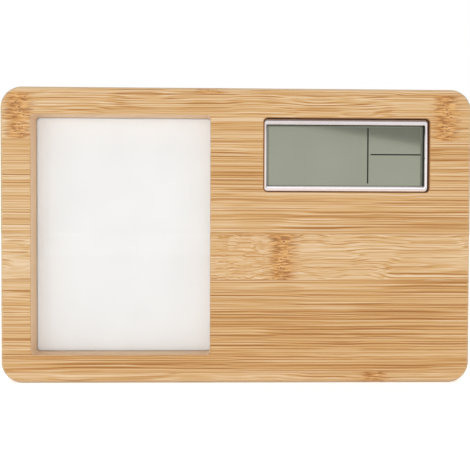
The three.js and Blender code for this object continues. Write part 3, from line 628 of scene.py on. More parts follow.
class Bamboo(Graph):
    """Laminated bamboo. The shift moves its pattern, so that two boards differ."""

    def __init__(self, name, shift=0.0):
        super().__init__(name)
        x, y, z = self.place()
        self.x, self.y, self.z = x + shift, y, z + shift
        # How far a face is cut across the fibres, as the block's ends are
        normal = self.parts(self.add("TexCoord", output="Normal"))
        self.cut = self.step(abs(normal[0]), 0.7, 0.95)
        self.find_strips()
        self.find_knots()
        self.draw_fibres()
        self.draw_knots()
        self.draw_ends()
        self.draw_glue()
        self.draw_opening()
        self.draw_cut_out()
        self.draw_edges()

    def paint(self, share, colour):
        """Lays a colour over those already there."""
        self.colour = self.mix(share, self.colour, colour)

    def by_strip(self, levels):
        """A level from 0 to 1 for each of the front ply's strips."""
        stops = []
        for number, level in enumerate(levels):
            start = STRIP_START + (number - 1) * STRIP_PITCH
            stops.append((max(start / BLOCK_HEIGHT, 0), grey(level)))
        return self.ramp(self.z * (1 / BLOCK_HEIGHT), stops, "CONSTANT")

    def find_strips(self):
        """Which ply and strip a point is in, and what that strip is like; inner ones go by chance."""
        self.ply_run = self.y * (1 / PLY_DEPTH) + PLY_START
        ply = self.math("FLOOR", self.ply_run)
        self.strip = self.z * (1 / STRIP_PITCH) - STRIP_START / STRIP_PITCH + ply * PLY_SHIFT
        self.seed = ply * PLY_SEEDS + self.math("FLOOR", self.strip)
        drawn = self.add("TexWhiteNoise", {"W": self.seed + 0.5}, "Color", noise_dimensions="1D")
        self.chance = self.parts(drawn)
        inner = self.math("GREATER_THAN", ply, 0.5)

        tones, lines, waves, knots = zip(*STRIPS)
        tone = self.choose(inner, self.by_strip(tones), self.chance[0] * 0.2 + 0.4)
        # Painted sheen: the tone rises towards the left end.
        self.tone = tone + self.step(self.x, *PAINTED_LEFT_SHEEN)
        front_lines = self.by_strip([line / 2 for line in lines]) * 2.0
        self.lines = self.choose(inner, front_lines, self.chance[1] * 0.4 + 0.7)
        self.waves = self.choose(inner, self.by_strip(waves), self.chance[2] * 0.6)
        shares = self.by_strip([(knot or 0) / KNOT_RANGE + 0.5 for knot in knots])
        self.knot_x = self.choose(inner, shares, self.chance[2]) * KNOT_RANGE - KNOT_RANGE / 2
        front_knots = self.by_strip([float(knot is not None) for knot in knots])
        self.knotty = self.choose(inner, front_knots, self.math("GREATER_THAN", self.chance[1], 0.5))

    def find_knots(self):
        """A knot is a band across its strip, frayed along the fibres, with wild fibres beside it."""
        self.along = self.math("WRAP", self.x - self.knot_x, -KNOT_PITCH / 2, KNOT_PITCH / 2)
        fray = self.noise(self.spread(self.seed, 1.5), 1.0)
        start = self.step(self.along - self.swing(fray, 5.0), -7.5, -3.5)
        end = self.step(self.along + self.swing(fray, 8.0), 7.0, 1.5)
        self.knot = start * end * self.knotty
        wild = self.step(abs(self.along + 11.0), 26.0, 8.0) * self.knotty
        self.wild = wild * self.step(self.waves, 0.2, 0.5)

    def spread(self, x, rate):
        """Coordinates for noise; x is scaled already."""
        return self.vector(x, self.y * rate, self.z * rate)

    def bent(self, x, rate):
        """Coordinates for noise that follows the bent fibres; x is scaled already."""
        return self.vector(x, self.depth * rate, self.height * rate)

    def fibres(self, length, short, thickness, detail, offset):
        """Streaks along X; wavy strips have shorter ones."""
        rate = self.choose(self.waves, 1 / length, 1 / short)
        run = self.x * rate + (self.seed * SEED_STEP + offset)
        return self.noise(self.bent(run, 1 / thickness), detail)

    def draw_fibres(self):
        """Fibres drift slowly along their strip and swirl about its knot."""
        drift = self.noise(self.spread(self.x * 0.02 + self.seed, 0.05))
        swirl = self.noise(self.spread(self.x * 0.3 + self.seed, 0.2), 0.0)
        bend = self.swing(drift, 6.0) * self.waves + self.swing(swirl, 0.4) * self.wild
        self.depth, self.height = self.y + bend, self.z + bend

        self.coarse = self.fibres(*COARSE_FIBRES)
        self.fine = self.fibres(*FINE_FIBRES)
        broad = self.fibres(*BROAD_FIBRES)
        dark = self.fibres(*DARK_FIBRES)
        wander = self.swing(self.fibres(*RIDGE_FIBRES), STRIPE_WANDER)
        phase = (self.depth + self.height) * (2 * math.pi / BUNDLE_PITCH) + wander
        stripes = self.math("SINE", phase) * (self.cut * -STRIPE_SHARE + STRIPE_SHARE)
        thin = self.swing(self.coarse, COARSE_SHARE) + self.swing(self.fine, FINE_SHARE)
        streaks = stripes + thin - self.step(dark, *DARK_RANGE)
        level = self.tone + self.swing(broad, BROAD_SHARE) + streaks * self.lines
        self.colour = self.ramp(level * 0.7 + 0.15, FIBRE_TONES)

    def draw_knots(self):
        """Short fibres about the knots, which are brown with small dark pores across the middle, each
        ringed by a painted highlight.
        """
        ripple = self.noise(self.bent(self.along * 0.14, 2.7), 1.0)
        self.paint(self.step(ripple, 0.5, 0.62) * self.wild * 0.5, SHORT_DARK)
        self.paint(self.step(ripple, 0.47, 0.37) * self.wild * 0.4, SHORT_PALE)
        tangle = self.noise(self.bent(self.along * 0.22, 1.7), 2.0)
        self.paint(self.knot * 0.9, self.ramp(tangle, KNOT_TONES))
        pores = self.cells(self.spread(self.along * 0.34, 0.66))
        across = self.step(abs(self.along), 3.0, 1.8) * self.knotty
        # Painted highlight round each pore.
        self.paint(self.step(pores, 0.42, 0.32) * across * 0.5, PORE_HIGHLIGHT)
        self.paint(self.step(pores, 0.27, 0.17) * across * 0.9, PORE)

    def draw_ends(self):
        """Cut ends show the fibres as dots, which crowd to one side of each ply."""
        skin = self.math("FRACT", self.ply_run)
        dots = self.step(self.cells(self.spread(0.0, 1.05)) - skin * 0.2, 0.3, 0.18)
        self.paint(self.cut * 0.35, END_GRAIN)
        self.paint(self.cut * self.step(skin, 0.2, 1.0, 0.0, 0.4), SKIN_SIDE)
        self.paint(dots * self.cut * 0.55, BUNDLE_END)

    def draw_glue(self):
        """Glue lines between the strips and between the plies, plainer on the cut ends."""
        seam = self.step(self.math("PINGPONG", self.strip, 0.5), 0.018, 0.004)
        seam = seam * (self.chance[0] * 0.7 + 0.3)
        ply_seam = self.step(self.math("PINGPONG", self.ply_run, 0.5), 0.03, 0.008)
        ply_seam = ply_seam * self.step(abs(self.y), 8.0, 7.0)
        self.paint(self.math("MAXIMUM", seam, ply_seam) * (self.cut * 0.35 + 0.5), GLUE)

    def beyond(self, centre, half, corner):
        """How far a point lies outside a rounded rectangle seen from the front."""
        off_x = abs(self.x - centre[0]) + (corner - half[0])
        off_z = abs(self.z - centre[1]) + (corner - half[1])
        sides = [self.math("MAXIMUM", off, 0.0) for off in (off_x, off_z)]
        return self.length(self.vector(*sides, 0.0)) - corner

    def behind(self, start, end):
        """A step between two depths behind the block's front."""
        return self.step(self.y, BLOCK_FRONT + start, BLOCK_FRONT + end)

    def draw_opening(self):
        """The photo opening's walls are painted paler as painted light, and darker at the foot as painted
        shade.
        """
        near = self.step(self.beyond(PHOTO_MIDDLE, OPENING_HALF, OPENING_CORNER), 0.3, 0.05)
        wall = near * self.behind(0.1, 0.5) * self.step(self.y, 0.5, 0.0)
        # Painted light: the walls paler than the bamboo's own colour.
        self.paint(wall * 0.75, PAINTED_WALL_LIGHT)
        # Painted shade: darker towards the foot of the walls.
        self.paint(wall * self.step(self.y, WINDOW_FRONT - 2.7, WINDOW_FRONT) * 0.6, PAINTED_FOOT_SHADE)

    def draw_cut_out(self):
        """The display's cut-out is scorched at its edge, a colour that is partly burn and partly painted
        shadow in the gap round the bezel; a dark line at the edge, the walls inside and the lower side
        get painted shade.
        """
        outside = self.beyond(DISPLAY_MIDDLE, CUT_OUT_HALF, CUT_OUT_CORNER)
        front = self.behind(5.3, 3.3)
        scorch_and_shade = self.step(outside, 0.7, 0.05) * front
        # Scorch that is partly burn and partly painted shadow in the gap.
        self.paint(scorch_and_shade * 0.9, SCORCH_AND_SHADOW)
        rim = self.step(outside, 0.45, 0.1)
        # Painted shadow: a dark line along the cut-out's edge.
        self.paint(rim * front * 0.7, PAINTED_EDGE_SHADOW)
        bottom = DISPLAY_MIDDLE[1] - CUT_OUT_HALF[1]
        # Painted shadow below the bezel.
        self.paint(rim * self.step(self.z, bottom + 1.25, bottom + 0.25) * 0.85, PAINTED_SHADOW_BELOW)
        # Painted shade on the walls deeper in the gap.
        self.paint(scorch_and_shade * self.behind(0.2, 0.7) * 0.9, PAINTED_GAP_SHADE)

    def draw_edges(self):
        """The front's outer edges are painted a little greyer, a painted sheen, and darker below, a
        painted shadow.
        """
        edge = self.step(self.beyond(BLOCK_MIDDLE, BLOCK_HALF, BLOCK_CORNER), -1.8, -0.2)
        edge = edge * self.behind(2.5, 0.9)
        # Painted sheen on the rounded edges.
        self.paint(edge * 0.4, PAINTED_EDGE_SHEEN)
        # Painted shadow along the lower edge.
        self.paint(edge * self.step(self.z, 3.0, 0.5, 0.0, 0.5), PAINTED_LOWER_SHADOW)

    def finished(self):
        return self.surface(
            Base_Color=self.colour,
            Roughness=self.step(self.fine, 0.2, 0.8, 0.48, 0.36),
            Specular_IOR_Level=0.45,
            Normal=self.bump(self.coarse * 0.6 + self.fine * 0.4, 0.05, 0.5),
        )


# The other materials
GLASS_INDEX = 1.47
GLASS_TINT = (0.985, 0.99, 0.988, 1)
BLUE_SLEEVE = srgb(42, 84, 118)
PALE_SLEEVE = srgb(206, 208, 206)
BARE_STEEL = srgb(188, 190, 194)


def window_glass():
    """A clear sheet: a thin reflection over what lies behind it, with faint smears in its gloss."""
    g = Graph("window_glass")
    rough = g.step(g.grain((0.05, 1.0, 0.02), 3.0), 0.3, 0.8, 0.02, 0.09)
    gloss = g.add("BsdfGlossy", {"Color": grey(1.0), "Roughness": rough})
    clear = g.add("BsdfTransparent", {"Color": GLASS_TINT})
    share = g.add("Fresnel", {"IOR": GLASS_INDEX})
    facing = g.math("SUBTRACT", 1.0, g.add("NewGeometry", output="Backfacing"))
    return g.blend_shaders(share * facing, clear, gloss)


def white_card():
    """Card with a fine pulp relief and hardly any clouding."""
    g = Graph("white_card")
    pulp = g.grain(2.4, 4.0, 0.65)
    cloud = g.grain((0.05, 1.0, 0.05))
    return g.surface(
        Base_Color=g.tones(cloud, (231, 229, 229), (235, 233, 233)),
        Roughness=0.75,
        Specular_IOR_Level=0.3,
        Normal=g.bump(pulp, 0.03, 0.4),
    )


def grey_board():
    """Board of flecked waste paper."""
    g = Graph("grey_board")
    flecks = g.grain((1.1, 3.0, 1.9), 5.0, 0.7)
    tones = ((0.3, srgb(112, 104, 92)), (0.5, srgb(146, 137, 123)), (0.75, srgb(168, 160, 147)))
    return g.surface(Base_Color=g.ramp(flecks, tones), Roughness=0.9, Normal=g.bump(flecks, 0.1, 0.6))


def side_bands(g, half, beside, above):
    """Bands along the sides of a rectangle about the display: each starts and ends so far inside."""
    x, _, z = g.place()
    upright = g.step(abs(x - DISPLAY_MIDDLE[0]), *[half[0] - inset for inset in beside])
    level = g.step(abs(z - DISPLAY_MIDDLE[1]), *[half[1] - inset for inset in above])
    return g.math("MAXIMUM", upright, level)


def chrome_plate():
    """Bright plating with a faint film; its outer edge is painted warmer, a painted reflection of the
    bamboo round it.
    """
    g = Graph("chrome_plate")
    film = g.grain((0.12, 0.4, 0.12), 3.0)
    peel = g.grain(1.6, 1.0)
    colour = g.tones(film, (236, 229, 231), (241, 235, 238))
    # Painted reflection: a warm tint along the bezel's outer edge.
    rim = side_bands(g, BEZEL_HALF, (0.5, 0.1), (0.95, 0.35))
    return g.surface(
        Base_Color=g.mix(rim, colour, srgb(238, 208, 190)),
        Metallic=1.0,
        Roughness=g.step(film, 0.2, 0.8, 0.05, 0.12),
        Normal=g.bump(peel, 0.004, 0.5),
    )


def display_glass():
    """A liquid crystal panel that is switched off: finely grained grey-green under clear glass.

    Its reflecting film ends just short of the view's edges; the margin is matt and painted darker, as
    painted shade along the bezel.
    """
    g = Graph("display_glass")
    grain = g.grain(6.0)
    cloud = g.grain((0.045, 1.0, 0.045))
    tint = grain * 0.45 + cloud * 0.55
    colour = g.tones(tint, (144, 147, 130), (152, 155, 138))
    margin = side_bands(g, VIEW_HALF, (1.2, 0.7), (0.8, 0.4))
    return g.surface(
        # Painted shade: the matt margin is darker than the panel.
        Base_Color=g.mix(margin, colour, srgb(118, 121, 106)),
        Metallic=g.choose(margin, 0.85, 0.0),
        Roughness=0.07,
        Coat_Weight=0.5,
        Coat_Roughness=0.03,
        Normal=g.bump(grain, 0.001, 0.3),
    )


def segment_ink():
    """The display's dark divider lines."""
    g = Graph("segment_ink")
    return g.surface(
        Base_Color=g.tones(g.grain(5.0), (22, 24, 17), (34, 36, 27)),
        Roughness=0.35,
        Specular_IOR_Level=0.3,
    )


def moulded(name, dark, light, texture, rough):
    """Moulded plastic with a fine spark-eroded surface."""
    g = Graph(name)
    pits = g.grain(texture, 3.0, 0.6)
    cloud = g.grain(0.08, 3.0)
    return g.surface(
        Base_Color=g.tones(pits * 0.6 + cloud * 0.4, dark, light),
        Roughness=g.step(cloud, 0.25, 0.75, rough - 0.07, rough + 0.07),
        Normal=g.bump(pits, 0.03, 0.5),
    )


def elastomer():
    """Rubber with thin conducting layers across its length."""
    g = Graph("elastomer")
    x, _, z = g.place()
    layers = g.math("PINGPONG", x * 5.0, 1.0)
    core = g.step(g.math("PINGPONG", z * 0.9, 1.0), 0.3, 0.6)
    colour = g.ramp(layers, ((0.4, srgb(40, 38, 38)), (0.6, srgb(214, 168, 168))))
    return g.surface(Base_Color=g.mix(core, srgb(206, 160, 162), colour), Roughness=0.8)


def board_green():
    """Solder resist with copper tracks beneath it."""
    g = Graph("board_green")
    x, y, z = g.place()
    settings = {"Vector": g.vector(x * 0.16, z * 0.3, y), "Scale": 1.0, "Mortar Size": 0.06}
    tracks = g.add("TexBrick", settings, "Fac")
    dust = g.grain(1.5, 3.0)
    colour = g.mix(tracks, srgb(34, 92, 52), srgb(58, 128, 70))
    return g.surface(
        Base_Color=g.mix(dust * 0.25, colour, srgb(20, 60, 36)),
        Roughness=g.step(dust, 0.3, 0.7, 0.3, 0.45),
        Normal=g.bump(tracks, 0.04, 0.6),
    )


def epoxy():
    """Cast black resin with a slightly uneven gloss."""
    g = Graph("epoxy")
    flow = g.grain(0.7)
    return g.surface(
        Base_Color=g.tones(flow, (14, 14, 15), (26, 26, 28)),
        Roughness=g.step(flow, 0.3, 0.7, 0.22, 0.34),
        Normal=g.bump(flow, 0.06, 0.4),
    )


def metal(name, dark, light, rough):
    """Plated or rolled metal with fine drawing marks and a little tarnish."""
    g = Graph(name)
    marks = g.grain((7.0, 0.9, 7.0), 3.0, 0.6)
    tarnish = g.grain(0.5, 3.0)
    return g.surface(
        Base_Color=g.tones(tarnish, dark, light),
        Metallic=1.0,
        Roughness=g.step(tarnish, 0.3, 0.75, rough, rough + 0.12),
        Normal=g.bump(marks, 0.01, 0.4),
    )


def cell_sleeve():
    """A plain sleeve: a blue body, a pale band at the positive end and bare steel at both ends."""
    low, high = mm_box("battery_cell")
    length = high.x - low.x
    g = Graph("cell_sleeve")
    share = g.place()[0] * (1 / length) - low.x / length
    bands = ((0.0, BARE_STEEL), (0.012, BLUE_SLEEVE), (0.76, PALE_SLEEVE), (0.955, BARE_STEEL))
    scuffs = g.grain((0.6, 2.0, 2.0), 3.0)
    colour = g.ramp(share, bands, "CONSTANT")
    return g.surface(
        Base_Color=g.mix(scuffs * 0.18, colour, srgb(120, 124, 128)),
        Metallic=0.5,
        Roughness=g.step(scuffs, 0.3, 0.7, 0.28, 0.42),
    )


PLAIN_LOOKS = (
    window_glass,
    white_card,
    grey_board,
    chrome_plate,
    display_glass,
    elastomer,
    board_green,
    epoxy,
    cell_sleeve,
)


def make_materials():
    """The look of every slot by its name, and the back panel's own."""
    looks = {make.__name__: make() for make in PLAIN_LOOKS}
    looks["bamboo"] = Bamboo("bamboo").finished()
    looks["bamboo_panel"] = Bamboo("bamboo_panel", PANEL_SHIFT).finished()
    looks["black_plastic"] = moulded("black_plastic", (22, 22, 24), (36, 36, 38), 5.0, 0.48)
    looks["grey_plastic"] = moulded("grey_plastic", (58, 60, 63), (78, 80, 83), 3.0, 0.42)
    looks["steel"] = metal("steel", (176, 178, 182), (206, 207, 210), 0.22)
    looks["brass"] = metal("brass", (184, 142, 66), (216, 178, 98), 0.25)
    return looks


# Bamboo pieces


def make_block():
    low, high = BLOCK_BOX
    panel_low, panel_high = mm_box("photo_back_panel")
    case = mm_box("module_case")
    cover_low, cover_high = mm_box("module_cover")
    edges = rounded(low.y, high.y, BLOCK_EDGE, BLOCK_EDGE, 6)
    body = plate(BLOCK_MIDDLE, BLOCK_HALF, BLOCK_CORNER, edges, 16)

    profile = mouth(low.y, -1, OPENING_LIP, WINDOW_FRONT)
    opening = plate(PHOTO_MIDDLE, OPENING_HALF, OPENING_CORNER, profile, 8)
    profile = ((WINDOW_FRONT - SEAT_GAP, 0), (panel_low.y, 0))
    pocket = plate(PHOTO_MIDDLE, grown(WINDOW_HALF, FIT_GAP), OPENING_CORNER, profile)

    panel_x = (panel_low.x + panel_high.x) / 2
    panel_half = (panel_high.x - panel_low.x) / 2
    top = high.z + GROOVE_TOP

    def open_above(bottom, half, corner, profile, steps):
        """A cutter behind the panel's place that runs out of the block's top."""
        return plate((panel_x, (bottom + top) / 2), (half, (top - bottom) / 2), corner, profile, steps)

    profile = ((panel_low.y - FIT_GAP, 0), (panel_high.y + FIT_GAP, 0))
    groove = open_above(panel_low.z - FIT_GAP, panel_half + FIT_GAP, GROOVE_CORNER, profile, 1)
    profile = mouth(high.y, 1, REAR_LIP, panel_high.y)
    rear = open_above(panel_low.z + PANEL_TONGUE, panel_half - PANEL_TONGUE, REAR_CORNER, profile, 8)

    pocket_floor = low.y + FRONT_WALL
    profile = mouth(low.y, -1, CUT_OUT_LIP, pocket_floor + OVERCUT)
    cut_out = plate(DISPLAY_MIDDLE, CUT_OUT_HALF, CUT_OUT_CORNER, profile, 8)
    module_half = grown(half_size(*case), FIT_GAP)
    module = plate(middle(*case), module_half, MODULE_CORNER, ((pocket_floor, 0), (cover_low.y, 0)))
    rebate_half = grown(half_size(cover_low, cover_high), FIT_GAP)
    profile = mouth(high.y, 1, REBATE_LIP, cover_low.y - SEAT_GAP)
    rebate = plate(middle(cover_low, cover_high), rebate_half, COVER_CORNER + FIT_GAP, profile, 8)
    block = combine("bamboo_body", body, (opening, pocket, groove, rear, cut_out, module, rebate))
    stand_for(block, "bamboo_block")


def make_back_panel():
    low, high = mm_box("photo_back_panel")
    edges = rounded(low.y, high.y, PANEL_EDGE, PANEL_EDGE)
    board = plate(middle(low, high), half_size(low, high), PANEL_CORNER, edges)
    place = (middle(low, high)[0], high.z - THUMB_MARGIN - THUMB_RADIUS)
    profile = [(high.y + OVERCUT, THUMB_RADIUS + THUMB_LIP)]
    profile += [(high.y - depth, THUMB_RADIUS + grow) for depth, grow in quarter_round(THUMB_LIP)]
    profile += [(high.y - THUMB_DEPTH + rise, THUMB_RADIUS - inset) for rise, inset in THUMB_BOWL]
    panel = combine("bamboo_back_panel", board, (turned(place, profile, 16),))
    stand_for(panel, "photo_back_panel", look="bamboo_panel")


def make_sheets():
    for node, edge in SHEET_EDGES:
        low, high = mm_box(node)
        profile = rounded(low.y, high.y, edge, edge, 2)
        sheet = plate(middle(low, high), half_size(low, high), OPENING_CORNER, profile, 8)
        stand_for(add_object(f"{node}_sheet", sheet), node)


# Display


def make_bezel():
    """A plated frame with a rounded outer edge, a flat rim, a slope to the view and an upright lip."""
    front = BEZEL_BOX[0].y
    back = front + BEZEL_DEPTH
    half_x, half_z = grown(BEZEL_HALF, BEZEL_FILL)
    edge = SMALL_EDGE
    rings = [(back, half_x - edge, half_z - edge, BEZEL_CORNER - edge)]
    rings.append((back - edge, half_x, half_z, BEZEL_CORNER))
    for step in range(BEZEL_STEPS + 1):
        angle = step / BEZEL_STEPS * math.pi / 2
        share = 1 - math.cos(angle)
        depth = front + BEZEL_EDGE_DEPTH * (1 - math.sin(angle))
        sides = (half_x - BEZEL_EDGE[0] * share, half_z - BEZEL_EDGE[1] * share)
        rings.append((depth, *sides, BEZEL_CORNER - BEZEL_EDGE_CORNER * share))
    for step in range(BEZEL_STEPS + 1):
        share = 1 - step / BEZEL_STEPS
        depth = front + BEZEL_SLOPE_DEPTH * (1 - share) ** BEZEL_SLOPE_CURVE
        sides = (VIEW_HALF[0] + BEZEL_SLOPE[0] * share, VIEW_HALF[1] + BEZEL_SLOPE[1] * share)
        rings.append((depth, *sides, VIEW_CORNER + BEZEL_SLOPE[0] * share))
    rings.append((back, *VIEW_HALF, VIEW_CORNER))
    bezel = loft(stack(DISPLAY_MIDDLE, rings, 6), joined=True)
    stand_for(add_object("display_frame", bezel), "display_bezel", SHARP_BEZEL)


def make_display():
    """Two bonded glasses, the front one taller, with the panel's divider lines on the front one."""
    low, high = mm_box("lcd_panel")
    half_x, half_z = half_size(low, high)
    ledge = (low.y + high.y) / 2
    rear_z = half_z - GLASS_STEP
    rings = (
        (low.y, half_x - GLASS_EDGE, half_z - GLASS_EDGE),
        (low.y + GLASS_EDGE, half_x, half_z),
        (ledge - SMALL_EDGE, half_x, half_z),
        (ledge, half_x, half_z - SMALL_EDGE),
        (ledge, half_x, rear_z),
        (high.y - SMALL_EDGE, half_x, rear_z),
        (high.y, half_x - SMALL_EDGE, rear_z - SMALL_EDGE),
    )
    glasses = loft(stack(middle(low, high), [(*ring, GLASS_CORNER) for ring in rings], 2))
    stand_for(add_object("display_panel", glasses), "lcd_panel")

    ink = segment_ink()
    for name, centre, half in DIVIDERS:
        profile = [(low.y - height, grow) for height, grow in INK_LAYERS]
        line = add_object(name, plate(centre, half, INK_CORNER, profile, 3))
        settle(line, ink)
        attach(line, body_of["lcd_panel"])


# Clock module, seen from behind


def door_place():
    """The middle and half the size of the battery door without its hooks, as seen from the front."""
    low, high = mm_box("battery_door")
    corner = low + Vector((HOOK_REACH, 0, 0))
    return middle(corner, high), half_size(corner, high)


def make_cover():
    """The rear cover with the openings for what moves, the sound, the air and the screws."""
    low, high = mm_box("module_cover")
    back, front = high.y, low.y - OVERCUT
    edges = rounded(low.y, back, *COVER_EDGES)
    body = plate(middle(low, high), half_size(low, high), COVER_CORNER, edges, 8)

    hole, door_half = door_place()
    hole_half = grown(door_half, FIT_GAP)
    notch = (hole[0] + hole_half[0], hole[1])
    tools = [plate(hole, hole_half, DOOR_HOLE_CORNER, mouth(back, 1, WIDE_LIP, front), 4)]
    tools.append(bore(notch, NOTCH_RADIUS, back, MIDDLE_LIP, back - NOTCH_DEPTH))

    for name in BUTTONS:
        centre = middle(*mm_box(f"{name}_button"))
        tools.append(bore(centre, BUTTON_RADIUS + FIT_GAP, back, WIDE_LIP, front))

    knob_x, knob_z = middle(*mm_box("alarm_knob"))
    slot_half = (KNOB_HALF[0] + KNOB_TRAVEL / 2 + FIT_GAP, KNOB_HALF[1] + FIT_GAP)
    slot_middle = (knob_x + KNOB_TRAVEL / 2, knob_z)
    tools.append(plate(slot_middle, slot_half, KNOB_HALF[1], mouth(back, 1, MIDDLE_LIP, front)))

    buzzer_x, buzzer_z = middle(*mm_box("buzzer_disc"))
    holes = [(buzzer_x, buzzer_z)]
    for step in range(BUZZER_HOLES):
        angle = step * 2 * math.pi / BUZZER_HOLES
        holes.append((buzzer_x + BUZZER_RING * math.cos(angle), buzzer_z + BUZZER_RING * math.sin(angle)))
    for centre in holes:
        tools.append(bore(centre, BUZZER_HOLE, back, SMALL_LIP, front, 4))

    vent_x, vent_z = middle(*mm_box("thermistor"))
    for row in (-1, 0, 1):
        centre = (vent_x, vent_z + VENT_PITCH * row)
        tools.append(plate(centre, VENT_HALF, VENT_CORNER, mouth(back, 1, SMALL_LIP, front), 4))

    for number in SCREWS:
        centre = middle(*mm_box(f"cover_screw_{number}"))
        tools.append(bore(centre, SINK_RADIUS, back, MIDDLE_LIP, back - SINK_DEPTH))
    stand_for(combine("rear_cover", body, tools), "module_cover")


def make_door():
    """A flat door with two hooks at its left end and grip grooves at its right end."""
    low, high = mm_box("battery_door")
    cover_low, cover_high = mm_box("module_cover")
    front, back = cover_low.y, cover_high.y
    centre, half = door_place()
    body = plate(centre, half, DOOR_CORNER, rounded(front, back, *DOOR_EDGES), 3)

    post = low.x + HOOK_REACH + HOOK_POST
    side = post + HOOK_THICK
    toe = front - SEAT_GAP
    root = front + HOOK_ROOT
    shape = ((low.x, low.y), (side, low.y), (side, root), (post, root), (post, toe), (low.x, toe))
    hooks = []
    for place in (centre[1] - HOOK_OFFSET, centre[1] + HOOK_OFFSET):
        hooks.append(prism(shape, place - HOOK_HALF, place + HOOK_HALF))

    grooves = []
    for row in range(GRIP_COUNT):
        place = (high.x - (row + 1) * GRIP_PITCH, centre[1])
        profile = mouth(back, 1, SMALL_LIP, back - GRIP_DEPTH)
        grooves.append(plate(place, (GRIP_HALF, half[1] - GRIP_MARGIN), GRIP_CORNER, profile, 4))
    stand_for(combine("battery_lid", body, grooves, hooks), "battery_door")


def make_buttons():
    """Dished caps on flanges that stay behind the cover."""
    seat = mm_box("module_cover")[0].y - SEAT_GAP
    edge = SMALL_EDGE
    for name in BUTTONS:
        low, high = mm_box(f"{name}_button")
        flange = (high.x - low.x) / 2
        profile = [(low.y, flange - edge), (low.y + edge, flange), (seat - edge, flange)]
        profile += [(seat, flange - edge), (seat, BUTTON_RADIUS)]
        profile += crown(high.y, BUTTON_RADIUS, BUTTON_EDGE)
        profile += [(high.y - depth, radius) for depth, radius in BUTTON_DISH]
        key = add_object(f"{name}_key_cap", turned(middle(low, high), profile, 10))
        stand_for(key, f"{name}_button", SHARP_ROUND)


def make_knob():
    """The alarm's slide knob on its hidden plate, with three grip grooves."""
    low, high = mm_box("alarm_knob")
    x, z = middle(low, high)
    knob = (*KNOB_HALF, KNOB_CORNER)
    base = (*half_size(low, high), KNOB_PLATE_CORNER)
    base_back = mm_box("module_cover")[0].y - SEAT_GAP
    base_front = base_back - KNOB_PLATE
    rings = [(low.y, *knob), (base_front, *knob), (base_front, *base)]
    rings += [(base_back, *base), (base_back, *knob)]
    for depth, inset in quarter_round(KNOB_EDGE)[::-1]:
        rings.append((high.y - depth, *grown(knob, -inset)))
    grooves = []
    for row in (-1, 0, 1):
        place = (x + SLIT_PITCH * row, z)
        profile = mouth(high.y, 1, SLIT_LIP, high.y - SLIT_DEPTH)
        grooves.append(plate(place, SLIT_HALF, SLIT_CORNER, profile, 2))
    body = loft(stack((x, z), rings, 6))
    stand_for(combine("alarm_slide_knob", body, grooves), "alarm_knob")


def make_cover_screws():
    """Pan-head screws with a cross recess."""
    for number in SCREWS:
        node = f"cover_screw_{number}"
        low, high = mm_box(node)
        centre = middle(low, high)
        seat = high.y - HEAD_HEIGHT
        edge = SMALL_EDGE
        profile = [(low.y, TIP_RADIUS), (low.y + TIP_LENGTH, SHANK_RADIUS), (seat, SHANK_RADIUS)]
        profile += [(seat, HEAD_RADIUS - edge), (seat + edge, HEAD_RADIUS)]
        profile += crown(high.y, HEAD_RADIUS, HEAD_EDGE)
        profile += [(high.y - depth, radius) for depth, radius in HEAD_CROWN]
        sides = [(high.y - depth, grow) for depth, grow in CROSS_SIDES]
        slots = [plate(centre, half, CROSS_CORNER, sides, 3) for half in CROSS_HALVES]
        screw = combine(f"rear_screw_{number}", turned(centre, profile), slots)
        stand_for(screw, node, SHARP_ROUND)


def make_cell():
    """An AAA cell along X, with rounded shoulders, a rolled rim and its nub at the right."""
    low, high = mm_box("battery_cell")
    y, z = (low.y + high.y) / 2, (low.z + high.z) / 2
    radius = (high.z - low.z) / 2
    shoulder = high.x - NUB_LENGTH
    profile = [(low.x + reach, radius - inset) for reach, inset in CELL_FOOT]
    profile += [(shoulder - reach, radius - inset) for reach, inset in CELL_SHOULDER]
    profile += [(shoulder - NUB_FOOT, NUB_RADIUS + NUB_EDGE), (shoulder, NUB_RADIUS)]
    profile += [(high.x - NUB_EDGE, NUB_RADIUS), (high.x, NUB_TIP)]
    rings = []
    for x, size in profile:
        rings.append([(x, y + a, z + b) for a, b in outline(size, size, size, 10)])
    stand_for(add_object("aaa_cell", loft(rings)), "battery_cell")


def make_spring():
    """A conical spring on the cell's axis, widest at its contact plate."""
    low, high = mm_box("battery_spring")
    cell_low, cell_high = mm_box("battery_cell")
    y, z = (cell_low.y + cell_high.y) / 2, (cell_low.z + cell_high.z) / 2
    length = high.x - low.x - 2 * WIRE_RADIUS
    forward = Vector((1, 0, 0))
    rings = []
    for step in range(SPRING_STEPS + 1):
        share = step / SPRING_STEPS
        angle = share * SPRING_TURNS * 2 * math.pi
        outward = Vector((0, math.cos(angle), math.sin(angle)))
        radius = SPRING_START + (SPRING_END - SPRING_START) * share
        place = Vector((low.x + WIRE_RADIUS + length * share, y, z)) + outward * radius
        ring = []
        for side in range(WIRE_SIDES):
            turn = side * 2 * math.pi / WIRE_SIDES
            ring.append(place + WIRE_RADIUS * (outward * math.cos(turn) + forward * math.sin(turn)))
        rings.append(ring)
    stand_for(add_object("contact_spring", loft(rings)), "battery_spring", SHARP_ROUND)


# Studio, with places and sizes in metres
FLOOR_SIZE = 4
PART_TARGET = (0, 0, 0.06)
KEY_TARGET = (-0.05, 0, 0.06)
KEY_HEIGHT = 0.3
FRONT_ROLL = math.radians(-9.5)

# The floor's glow by the distance from the part in millimetres, and the glow that lights the part
GLOW_RANGE = (400.0, 1500.0, 0.6, 0.9)
GLOW_ROUND = 0.25

# How the light from all round fades as its direction rises
SKY_FADE = (0.15, 0.6, 0.42, 0.12)


